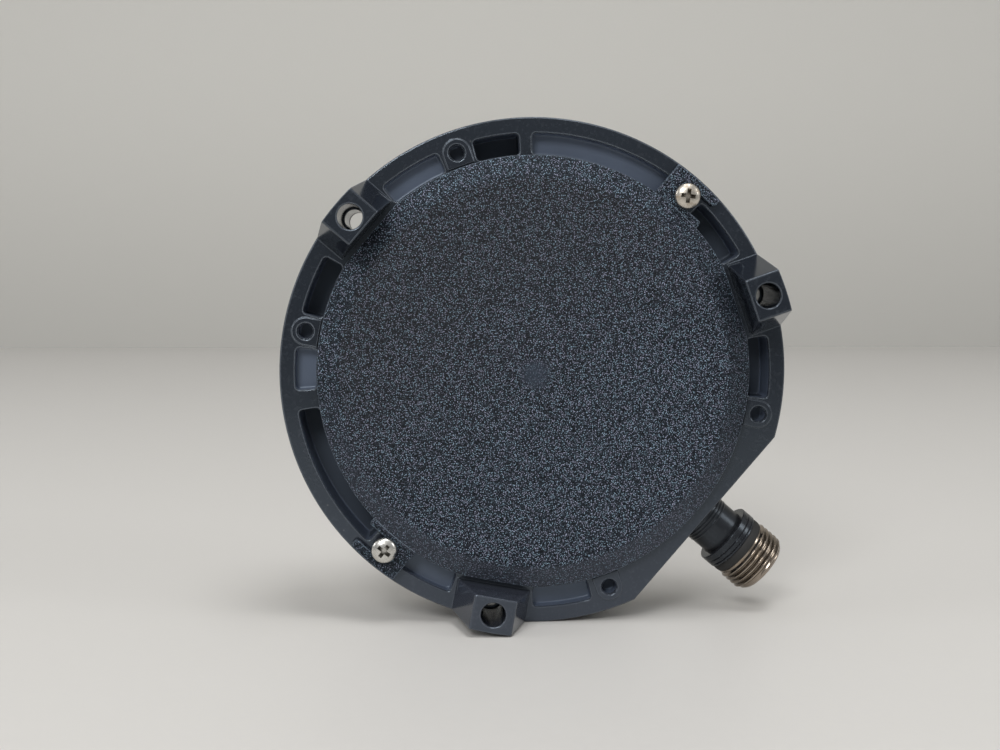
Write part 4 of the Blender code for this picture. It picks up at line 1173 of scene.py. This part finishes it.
@dataclass
class RearCover:
    """Dished, grained cover with a locating skirt and two forked ears."""

    radius: float = 38.3 * MM
    top: float = 3.0 * MM
    ear_top: float = 1.5 * MM
    wall: float = 1.8 * MM
    face_rounding: Tuple[Point, ...] = ((-0.5 * MM, 0.0), (0.5 * MM, -0.2 * MM))
    rim_rounding: Tuple[Point, ...] = ((-0.25 * MM, 0.1 * MM), (-0.07 * MM, -0.02 * MM), (0.0, -0.2 * MM))
    skirt: float = 35.4 * MM
    skirt_wall: float = 1.5 * MM
    skirt_depth: float = 2.0 * MM
    ear_radius: float = 44.6 * MM
    ear_root: float = 36.2 * MM
    ear_leading: float = 4.7 * MM
    ear_trailing: float = 5.0 * MM
    slot_half: float = 1.75 * MM
    slot_chords: int = 18
    tip_round: float = 0.6 * MM
    tip_chords: int = 14
    trim: float = 37.7 * MM
    trim_half: float = 7.4 * MM
    edge: float = 0.20 * MM

    def ear_outline(self, inset: float) -> Loop:
        """Outline of one forked ear, whose screw slot opens on the clockwise side.

        Args:
            inset: How far it is drawn in.

        Returns:
            The outline.
        """
        outer, leading, trailing = (
            size - inset for size in (self.ear_radius, self.ear_leading, self.ear_trailing)
        )
        slot, tip = self.slot_half + inset, self.tip_round
        first, last = math.degrees(math.asin(-trailing / outer)), math.degrees(math.asin(leading / outer))
        corners = [(self.ear_root, leading, 0.0), (self.ear_root, -trailing, 0.0)]
        corners.append((SCREW_CIRCLE - slot, -trailing, tip))
        corners += [(x, y, 0.0) for x, y in arc(slot, 180, 0, self.slot_chords, (SCREW_CIRCLE, 0.0))]
        corners.append((SCREW_CIRCLE + slot, -trailing, tip))
        rim = arc(outer, first, last, self.tip_chords)
        corners += [(x, y, 0.0 if i else tip) for i, (x, y) in enumerate(rim)]
        return filleted(corners)

    def ear(self, angle: float) -> Solid:
        """One forked ear with a softened upper edge."""
        return Solid.layered(self.ear_outline, eased(GAP, self.ear_top, self.edge)).moved(rolled(angle))

    def dish(self) -> Solid:
        """The cover without its ears.

        Returns:
            A turned solid.
        """
        inside, hollow = self.top - self.wall, self.skirt - self.skirt_wall
        profile: Loop = [(0, self.top)]
        profile += [(COVER_FACE + out, self.top + rise) for out, rise in self.face_rounding]
        profile += [(self.radius + out, self.ear_top + rise) for out, rise in self.rim_rounding]
        profile += [(self.radius, GAP), (self.skirt, GAP), (self.skirt, -self.skirt_depth)]
        profile += [(hollow, -self.skirt_depth), (hollow, inside), (0, inside)]
        return Solid.turned(profile, Chords.COVER)

    def build(self) -> Pieces:
        """Shape the cover and put it in place.

        Returns:
            Its one piece.
        """
        low, high = (self.trim, -self.trim_half, 0.0), (2 * self.trim, self.trim_half, 2 * self.top)
        trims = [Solid.block(low, high).moved(rolled(angle)) for angle in POST_ANGLES]
        body = self.dish().fused(*[self.ear(angle) for angle in EAR_ANGLES]).cut(*trims)
        return [body.piece("cover_plate", GRAINED_PLASTIC, Carrier.HOUSING, "rear_cover")]


@dataclass(frozen=True)
class PanScrew:
    """Pan-head screw with a cross recess."""

    head_radius: float
    head_height: float
    shank_radius: float
    length: float
    crown: float = 0.55
    crown_chords: int = 10
    rim: float = 0.08
    arm: float = 1.42 * MM
    arm_width: float = 0.74 * MM
    arm_flare: float = 0.45
    arm_foot: float = 0.5
    arm_draft: float = 0.1
    recess: float = 1.15 * MM

    def solid(self, turn: float) -> Solid:
        """The screw with its seat at Z = 0 and its head above.

        Args:
            turn: How far its cross is turned, in degrees.

        Returns:
            The screw.
        """
        radius, height, shank = self.head_radius, self.head_height, self.shank_radius
        quarter = arc(1.0, 0, 90, self.crown_chords)
        profile = [(radius * y, height * (1 - self.crown * (1 - x))) for x, y in quarter]
        profile += [(radius, self.rim * height), (radius - self.rim * height, 0), (shank, 0)]
        profile += [(shank, shank - self.length), (0, -self.length)]
        low, high, half = height - self.recess, 2 * height, self.arm_width / 2
        reach = self.arm * (1 + self.arm_flare * (high - height) / self.recess)
        foot, draft = self.arm * self.arm_foot - reach, -self.arm_draft * half
        across = Solid.block((-reach, -half, low), (reach, half, high), (foot, draft))
        upright = Solid.block((-half, -reach, low), (half, reach, high), (draft, foot))
        cross = across.fused(upright).moved(rolled(turn))
        return Solid.turned(profile, Chords.SCREW_HEAD).cut(cross)


@dataclass
class CoverScrews:
    """The two screws in the cover's ears."""

    screw: PanScrew = PanScrew(2.25 * MM, 1.7 * MM, 1.05 * MM, 7.7 * MM)
    seat: float = 1.8 * MM
    turns: Angles = (-57.5, 2.5)

    def build(self) -> Pieces:
        """Shape both screws; the first one is stained.

        Returns:
            The screws.
        """
        made = []
        rows = zip(EAR_ANGLES, self.turns, (STAINED_STEEL, SCREW_STEEL))
        for number, (angle, turn, finish) in enumerate(rows, 1):
            screw = self.screw.solid(turn).moved(placed(SCREW_CIRCLE, angle, self.seat))
            name, node = f"cross_screw_{number}", f"cover_screw_{number}"
            made.append(screw.piece(name, finish, Carrier.HOUSING, node))
        return made


@dataclass
class Connector:
    """Round connector: ridged neck, threaded sleeve, seal ring, insert and pins."""

    neck_radius: float = 4.55 * MM
    neck_bore: float = 3.6 * MM
    neck_start: float = 32.6 * MM
    neck_end: float = 50.0 * MM
    stop_radius: float = 6.0 * MM
    stop_end: float = 34.6 * MM
    ridge_start: float = 42.2 * MM
    ridge_pitch: float = 0.62 * MM
    ridge_height: float = 0.09 * MM
    ridge: Tuple[Point, ...] = (
        (0.0, 0.0), (0.12, 0.7), (0.25, 1.0), (0.40, 1.0), (0.53, 0.7), (0.65, 0.0)
    )
    ridges: int = 3
    start: float = 47.3 * MM
    end: float = 57.1 * MM
    bore: float = 4.85 * MM
    collar_radius: float = 5.9 * MM
    collar_length: float = 2.7 * MM
    collar_fit: float = 0.04 * MM
    line_places: Point = (0.48, 0.80)
    line_depth: float = 0.2 * MM
    edge: float = 0.15 * MM
    seal_radius: float = 5.8 * MM
    seal_chords: int = 15
    groove_radius: float = 5.25 * MM
    groove_length: float = 1.7 * MM
    thread_radius: float = 6.0 * MM
    thread_height: float = 0.5 * MM
    thread_length: float = 4.9 * MM
    pitch: float = 1.0 * MM
    section: Tuple[Point, ...] = (
        (0.0, 0.0), (0.14, 0.0), (0.44, 0.92), (0.50, 1.0), (0.64, 1.0), (0.70, 0.92)
    )
    tip_chamfer: Point = (0.32 * MM, 0.40 * MM)
    steps: int = Chords.CONNECTOR
    insert_start: float = 50.3 * MM
    insert_end: float = 53.3 * MM
    insert_radius: float = 4.55 * MM
    pin_radius: float = 0.5 * MM
    pin_circle: float = 2.5 * MM
    pin_start: float = 49.0 * MM
    pin_end: float = 56.2 * MM
    pin_chords: int = 5

    def neck(self) -> Solid:
        """Stem with an inner stop and fine rounded ridges by the flat.

        Returns:
            The neck.
        """
        profile: Loop = [(self.neck_bore, self.neck_start), (self.stop_radius, self.neck_start)]
        profile += [(self.stop_radius, self.stop_end), (self.neck_radius, self.stop_end)]
        for number in range(self.ridges):
            for share, height in self.ridge:
                at = self.ridge_start + self.ridge_pitch * (number + share)
                profile.append((self.neck_radius + self.ridge_height * height, at))
        profile += [(self.neck_radius, self.neck_end), (self.neck_bore, self.neck_end)]
        return Solid.turned(profile, self.steps)

    def collar(self) -> Solid:
        """Dark collar behind the thread, with two fine lines round it.

        Returns:
            The collar.
        """
        start, front = self.start, self.start + self.collar_length
        radius, edge, inner = self.collar_radius, self.edge, self.neck_radius + self.collar_fit
        profile = [(inner, start), (radius - edge, start), (radius, start + edge)]
        for share in self.line_places:
            at = start + share * self.collar_length
            profile += [(radius, at - edge), (radius - self.line_depth, at), (radius, at + edge)]
        profile += [(radius, front - edge), (radius - edge, front), (inner, front)]
        return Solid.turned(profile, self.steps)

    def thread(self, start: float, end: float) -> List[List[Triple]]:
        """Rows of the thread's helical surface.

        Args:
            start: Where the thread begins along the connector.
            end: Where it runs out.

        Returns:
            Rows of points, each one turn long; the thread fades to its root at both ends.
        """
        root, fading = self.thread_radius - self.thread_height, 0.5 * self.pitch
        rows = []
        for turn in range(-1, int((end - start) / self.pitch) + 2):
            for share, height in self.section:
                row = []
                for i in range(self.steps + 1):
                    at = start + (turn + share + i / self.steps) * self.pitch
                    fade = clamped((at - start) / fading) * clamped((end - at) / fading)
                    point = on_circle(root + self.thread_height * height * fade, 360 * i / self.steps)
                    row.append((*point, clamped(at, start, end)))
                rows.append(row)
        return rows

    def circles(self, profile: Loop) -> List[List[Triple]]:
        """Rows of points for a turned profile, each row closed on itself."""
        return [[(x, y, height) for x, y in arc(radius, 0, 360, self.steps)] for radius, height in profile]

    def sleeve(self) -> Solid:
        """The sleeve: seal groove, thread, chamfered tip and bore.

        Returns:
            The sleeve.
        """
        groove = self.start + self.collar_length
        thread = groove + self.groove_length
        run_out = thread + self.thread_length
        root, bore, end = self.thread_radius - self.thread_height, self.bore, self.end
        inward, back = self.tip_chamfer
        behind = [(bore, groove), (self.groove_radius, groove), (self.groove_radius, thread), (root, thread)]
        ahead = [(root, run_out), (root, end - back), (root - inward, end), (bore, end), (bore, groove)]
        shape = bmesh.new()
        for rows in (self.circles(behind), self.thread(thread, run_out), self.circles(ahead)):
            grid = [[shape.verts.new(point) for point in row] for row in rows]
            for first, second in zip(grid, grid[1:]):
                for i in range(self.steps):
                    shape.faces.new((first[i], first[i + 1], second[i + 1], second[i]))
        return Solid.shaped(shape)

    def band(self) -> Solid:
        """Oval seal ring in its groove.

        Returns:
            The ring.
        """
        half_width, half = self.groove_length / 2, (self.seal_radius - self.groove_radius) / 2
        middle = self.start + self.collar_length + half_width
        oval = arc(1.0, 0, 360, self.seal_chords)[:-1]
        section = [(self.groove_radius + half * (1 + x), middle + half_width * y) for x, y in oval]
        return Solid.turned(section, self.steps)

    def pin_places(self) -> List[Point]:
        """Pin centres in the CAD's order."""
        corner = self.pin_circle / math.sqrt(2)
        return [(-corner, corner), (-corner, -corner), (0.0, 0.0), (corner, -corner), (corner, corner)]

    def insert(self) -> Solid:
        """Insulator with a hole for each pin.

        Returns:
            The insulator.
        """
        radius, end, edge = self.insert_radius, self.insert_end, self.edge
        outline = [(0, end), (radius - edge, end), (radius, end - edge)]
        outline += [(radius, self.insert_start), (0, self.insert_start)]
        hole = bar(self.pin_radius + GAP, self.neck_bore, 2 * self.end)
        places = [Matrix.Translation((*at, 0)) for at in self.pin_places()]
        holes = [Solid.turned(hole, Chords.PIN_HOLE).moved(place) for place in places]
        return Solid.turned(outline, Chords.INSERT).cut(*holes)

    def pin(self) -> Solid:
        """One pin with a round tip.

        Returns:
            The pin, on the connector's axis.
        """
        radius, quarter = self.pin_radius, arc(1.0, 0, 90, self.pin_chords)
        tip = [(radius * y, self.pin_end - radius * (1 - x)) for x, y in quarter]
        return Solid.turned(tip + [(radius, self.pin_start), (0, self.pin_start)], Chords.ROD)

    def build(self) -> Pieces:
        """Shape the pieces of the connector and put them in place.

        Returns:
            The pieces.
        """
        rows = [
            (self.neck(), "ridged_neck", NECK_PLASTIC, ["connector_neck"]),
            (self.sleeve(), "threaded_sleeve", PLATED_METAL, ["connector_sleeve"]),
            (self.collar(), "sleeve_collar", COLLAR_PLASTIC, []),
            (self.band(), "seal_band", BLACK_RUBBER, ["connector_seal_ring"]),
            (self.insert(), "pin_carrier", INSERT_PLASTIC, ["connector_insert"]),
        ]
        for number, at in enumerate(self.pin_places(), 1):
            pin = self.pin().moved(Matrix.Translation((*at, 0)))
            rows.append((pin, f"contact_{number}", PIN_METAL, [f"connector_pin_{number}"]))
        return [
            solid.moved(CONNECTOR).piece(name, finish, Carrier.HOUSING, *nodes)
            for solid, name, finish, nodes in rows
        ]


@dataclass
class ShaftSide:
    """Flange with its pilot and bearing tube, flange screws, shaft seal and shaft."""

    plate_back: float = -15.3 * MM
    face: float = -18.3 * MM
    edge: float = 0.25 * MM
    pilot_face: float = -28.3 * MM
    pilot_radius: float = 18.0 * MM
    tube_radius: float = 13.0 * MM
    tube_rear: float = -7.5 * MM
    tube_bore: float = 9.8 * MM
    tube_overlap: float = 1.2 * MM
    seal_seat: float = 10.5 * MM
    seal_recess: float = -25.5 * MM
    lip_radius: float = 8.2 * MM
    bearing_seat: float = -24.5 * MM
    groove: Triple = (10.4 * MM, -10.6 * MM, -9.0 * MM)
    standoff_places: Tuple[float, Angles] = (30.0 * MM, (30, 150, 225))
    standoff_radius: float = 2.6 * MM
    standoff_hole: float = 1.3 * MM
    standoff_top: float = -8.5 * MM
    standoff_root: float = 1.0 * MM
    post_hole: float = 1.8 * MM
    screw: PanScrew = PanScrew(2.5 * MM, 1.5 * MM, 1.05 * MM, 8.0 * MM)
    screw_turn: float = 17.0
    screw_hole: float = 1.35 * MM
    screw_recess: float = 2.1 * MM
    recess_radius: float = 2.8 * MM
    shaft_radius: float = 5.0 * MM
    shaft_rear: float = -1.0 * MM
    shaft_groove: Triple = (0.6 * MM, -10.9 * MM, -12.5 * MM)
    shaft_shoulder: Triple = (6.0 * MM, -17.2 * MM, -18.9 * MM)
    shaft_flat: float = 4.2 * MM
    shaft_flat_length: float = 15.0 * MM
    shaft_chamfer: float = 0.5 * MM
    seal_radius: float = 10.2 * MM
    seal_width: float = 2.5 * MM
    seal_edge: float = 0.15 * MM
    seal_rim: Point = (1.0 * MM, 1.3 * MM)
    seal_hollow: float = 0.7 * MM
    seal_lip: Tuple[Point, ...] = ((1.0 * MM, 0.1 * MM), (0.4 * MM, 0.0), (0.0, 0.4 * MM))
    seal_lip_root: float = 1.5 * MM

    def hub(self) -> Solid:
        """Pilot and bearing tube.

        Returns:
            A turned solid.
        """
        face, edge, seat, bore = self.pilot_face, self.edge, self.seal_seat, self.tube_bore
        middle, (groove, low, high) = (self.face + self.plate_back) / 2, self.groove
        tube, pilot = self.tube_radius, self.pilot_radius
        profile = [(tube, self.tube_rear), (tube, middle), (pilot, middle)]
        profile += [(pilot, face + 2 * edge), (pilot - 2 * edge, face)]
        profile += [(seat + edge, face), (seat, face + edge), (seat, self.seal_recess)]
        profile += [(self.lip_radius, self.seal_recess), (self.lip_radius, self.bearing_seat)]
        profile += [(bore, self.bearing_seat), (bore, low), (groove, low), (groove, high), (bore, high)]
        return Solid.turned(profile + [(bore, self.tube_rear)], Chords.BODY)

    def flange(self) -> Solid:
        """Plate, pilot and bearing tube with their holes and recesses.

        Returns:
            The flange.
        """
        face, edge, root = self.face, self.edge, self.plate_back - self.standoff_root
        opening = Solid.rod(self.tube_radius - self.tube_overlap, 2 * face, 0.0, Chords.HUB)
        body = rim_disc(face, self.plate_back, edge).cut(opening).fused(self.hub())
        stud, standoffs = bar(self.standoff_radius, root, self.standoff_top), self.standoff_places
        body = body.fused(*Solid.copies(stud, Chords.STANDOFF, *standoffs))
        cutters = Solid.copies(bar(self.standoff_hole, root, 0.0), Chords.ROD, *standoffs)
        stepped = [(0, 0), (self.screw_hole, 0), (self.screw_hole, face + self.screw_recess)]
        stepped.append((self.recess_radius, face + self.screw_recess))
        plain = [(0, 0), (self.post_hole, 0)]
        mouths = ((plain, POST_CIRCLE, POST_ANGLES), (stepped, SCREW_CIRCLE, BOSS_ANGLES))
        for profile, circle, angles in mouths:
            radius, outside = profile[-1][0], face - 3 * edge
            flared = [(radius, face + edge), (radius + 4 * edge, outside), (0, outside)]
            cutters += Solid.copies(profile + flared, Chords.FLANGE_HOLE, circle, angles)
        return body.cut(*cutters)

    def shaft(self) -> Solid:
        """Turned shaft with a shoulder, a retaining groove and a flat at its outer end.

        Returns:
            The shaft.
        """
        radius, cut, rear = self.shaft_radius, self.shaft_chamfer, self.shaft_rear
        (sunk, first, last), (shoulder, back, front) = self.shaft_groove, self.shaft_shoulder
        profile = [(0, rear), (radius - cut, rear), (radius, rear - cut), (radius, first)]
        profile += [(radius - sunk, first), (radius - sunk, last), (radius, last), (radius, back)]
        profile += [(shoulder, back), (shoulder, front), (radius, front)]
        profile += [(radius, SHAFT_END + cut), (radius - cut, SHAFT_END), (0, SHAFT_END)]
        beyond = 2 * radius
        low = (-beyond, self.shaft_flat, SHAFT_END - beyond)
        flat = Solid.block(low, (beyond, beyond, SHAFT_END + self.shaft_flat_length))
        return Solid.turned(profile, Chords.HUB).cut(flat)

    def seal(self) -> Solid:
        """Shaft seal with a raised lip round the shaft and a shallow face between lip and rim.

        Returns:
            The seal.
        """
        low, high = self.pilot_face, self.pilot_face + self.seal_width
        inner, outer, floor = self.shaft_radius + GAP, self.seal_radius, low + self.seal_hollow
        profile = [(outer, high), (outer, low + self.seal_edge), (outer - self.seal_edge, low)]
        profile += [(outer - self.seal_rim[0], low), (outer - self.seal_rim[1], floor)]
        profile.append((inner + self.seal_lip_root, floor))
        profile += [(inner + out, low + rise) for out, rise in self.seal_lip]
        return Solid.turned(profile + [(inner, high)], Chords.HUB)

    def build(self) -> Pieces:
        """Shape the shaft side and put it in place.

        Returns:
            The pieces.
        """
        made = [
            self.flange().piece("turned_flange", FLANGE_METAL, Carrier.HOUSING, "front_flange"),
            self.seal().piece("lip_seal", SEAL_RUBBER, Carrier.HOUSING, "shaft_seal"),
            self.shaft().piece("ground_shaft", SHAFT_STEEL, Carrier.SHAFT, "shaft"),
        ]
        seat = self.face + GAP + self.screw.head_height
        for number, angle in enumerate(BOSS_ANGLES, 1):
            place = placed(SCREW_CIRCLE, angle, seat) @ QUARTER_TURN @ QUARTER_TURN
            screw = self.screw.solid(self.screw_turn * number).moved(place)
            name, node = f"flange_bolt_{number}", f"flange_screw_{number}"
            made.append(screw.piece(name, SCREW_STEEL, Carrier.HOUSING, node))
        return made


@dataclass
class InnerWorks:
    """CAD nodes that keep their shape and get a finish."""

    ends: Tuple[str, str] = ("front", "rear")
    sheath_roughness: float = 0.48

    def finishes(self) -> Dict[Finish, List[str]]:
        """Finishes of the kept nodes.

        Returns:
            The nodes' names by their finish.
        """
        rows = {
            BLACK_RUBBER: ["cover_seal", "flange_seal"],
            FLANGE_METAL: ["bearing_spacer", "disc_hub", "disc_clamp_ring"],
            SPRING_METAL: ["preload_washer", "bearing_retaining_ring", "shaft_retaining_ring"],
            BEARING_METAL: [f"{end}_bearing_{ring}_ring" for end in self.ends for ring in ("outer", "inner")],
            CAGE_PLASTIC: [f"{end}_ball_cage" for end in self.ends],
            DISC_FILM: ["code_disc"],
            BOARD_LAMINATE: ["circuit_board"],
            SCREW_STEEL: [f"board_screw_{number}" for number in (1, 2, 3)],
            CHIP_RESIN: ["sensor_chip", "processor_chip", "lead_header"],
            WINDOW_GLASS: ["sensor_window"],
            CAN_METAL: ["capacitor_1", "capacitor_2"],
        }
        for number, (name, colour) in enumerate(LEAD_COLOURS.items(), 1):
            sheath = Finish(f"lead_sheath_{name}", f"lead_{name}", colour, self.sheath_roughness)
            rows[sheath] = [f"connector_lead_{number}"]
        return rows

    def build(self) -> Pieces:
        """Dress every kept node.

        Returns:
            The nodes.
        """
        made = []
        for finish, names in self.finishes().items():
            for node in [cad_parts[name] for name in names]:
                node.data.materials.clear()
                node.data.materials.append(finish.material())
                made.append(node)
        return made


@dataclass
class Studio:
    """Pale table and wall, soft lamps and the camera."""

    floor: float = -45.0 * MM
    wall: float = 0.81
    reach: float = 2.5
    horizon: float = 0.28
    zenith: float = 0.58
    sky_rise: Point = (-0.1, 0.9)
    target: Triple = (0.0, -0.03, 0.0)
    lamps: Tuple[Tuple[Light, Triple, float, float], ...] = (
        (Light.KEY, (-0.30, -0.85, 0.60), 0.34, 4.8),
        (Light.FILL, (0.85, -0.40, 0.40), 0.30, 1.3),
        (Light.SIDE, (-0.90, -0.15, 0.35), 0.30, 1.0),
        (Light.TOP, (0.12, -0.30, 0.95), 0.42, 3.9),
    )
    eye: Triple = (-16.62 * MM, -281.93 * MM, 18.14 * MM)
    yaw: float = 0.04517
    pitch: float = 0.07879
    roll: float = 0.0014
    lens: float = 47.6
    sensor: float = 36.0
    nearest: float = 0.01

    def board(self, name: str, finish: Finish, near: Point, far: Point) -> bpy.types.Object:
        """One flat board of the studio.

        Args:
            name: Name of the object.
            finish: What it is made of.
            near: Y and Z of one long edge.
            far: Y and Z of the other.

        Returns:
            The board.
        """
        side = self.reach
        mesh = bpy.data.meshes.new(name)
        corners = [(-side, *near), (side, *near), (side, *far), (-side, *far)]
        mesh.from_pydata(corners, [], [range(len(corners))])
        mesh.materials.append(finish.material())
        return shown(name, mesh)

    def lamp(self, light: Light, at: Triple, size: float, power: float) -> bpy.types.Object:
        """One square softbox that points at the encoder.

        Args:
            light: Which lamp it is.
            at: Where it hangs.
            size: Length of its sides.
            power: Power in watts.

        Returns:
            The lamp.
        """
        data = bpy.data.lights.new(light.value, "AREA")
        data.shape = "SQUARE"
        data.size = size
        data.energy = power
        item = shown(light.value, data)
        item.location = at
        item.rotation_euler = (Vector(self.target) - Vector(at)).to_track_quat("-Z", "Y").to_euler()
        return item

    def camera(self) -> bpy.types.Object:
        """The camera where the photograph was taken from.

        Returns:
            The camera.
        """
        level_x, level_y = math.sin(self.yaw), math.cos(self.yaw)
        lowered = math.cos(self.pitch)
        ahead = Vector((level_x * lowered, level_y * lowered, -math.sin(self.pitch)))
        level = ahead.cross(Vector(UP)).normalized()
        right = level * math.cos(self.roll) + level.cross(ahead) * math.sin(self.roll)
        data = bpy.data.cameras.new("camera")
        data.sensor_fit = "HORIZONTAL"
        data.sensor_width = self.sensor
        data.lens = self.lens
        data.clip_start = self.nearest
        item = shown("camera", data)
        turn = Matrix((right, right.cross(ahead), -ahead)).transposed().to_4x4()
        item.matrix_world = Matrix.Translation(self.eye) @ turn
        bpy.context.scene.camera = item
        return item

    def sky(self) -> None:
        """Plain pale surroundings, brighter overhead."""
        world = bpy.data.worlds.new("studio")
        graph = Graph(world, "BACKGROUND", "Generated")
        low, high = self.sky_rise
        sockets = {"Value": graph.dot(graph.place, UP), "From Min": low, "From Max": high}
        sockets.update({"To Min": self.horizon, "To Max": self.zenith})
        graph.feed(graph.shader, "Color", graph.node("ShaderNodeMapRange", {}, sockets))
        bpy.context.scene.world = world
        bpy.context.scene.view_settings.view_transform = "Standard"

    def build(self) -> Pieces:
        """Set up the boards, lamps, surroundings and camera.

        Returns:
            Everything that isn't part of the encoder.
        """
        foot, top = (self.wall, self.floor), (self.wall, self.floor + self.reach)
        front = (-self.reach, self.floor)
        staged = [self.board("table", TABLE, front, foot), self.board("wall", WALL, foot, top)]
        staged += [self.lamp(*row) for row in self.lamps]
        staged.append(self.camera())
        self.sky()
        return staged


def main() -> None:
    """Build every sub-assembly in order and report its pieces."""
    logging.basicConfig(level=logging.INFO, format="%(message)s")
    kinds = (RingHousing, RearCover, CoverScrews, Connector, ShaftSide, InnerWorks, Studio)
    for kind in kinds:
        for piece in kind().build():
            LOG.info("%s: %s", kind.__name__, piece.name)


if __name__ == "__main__":
    main()
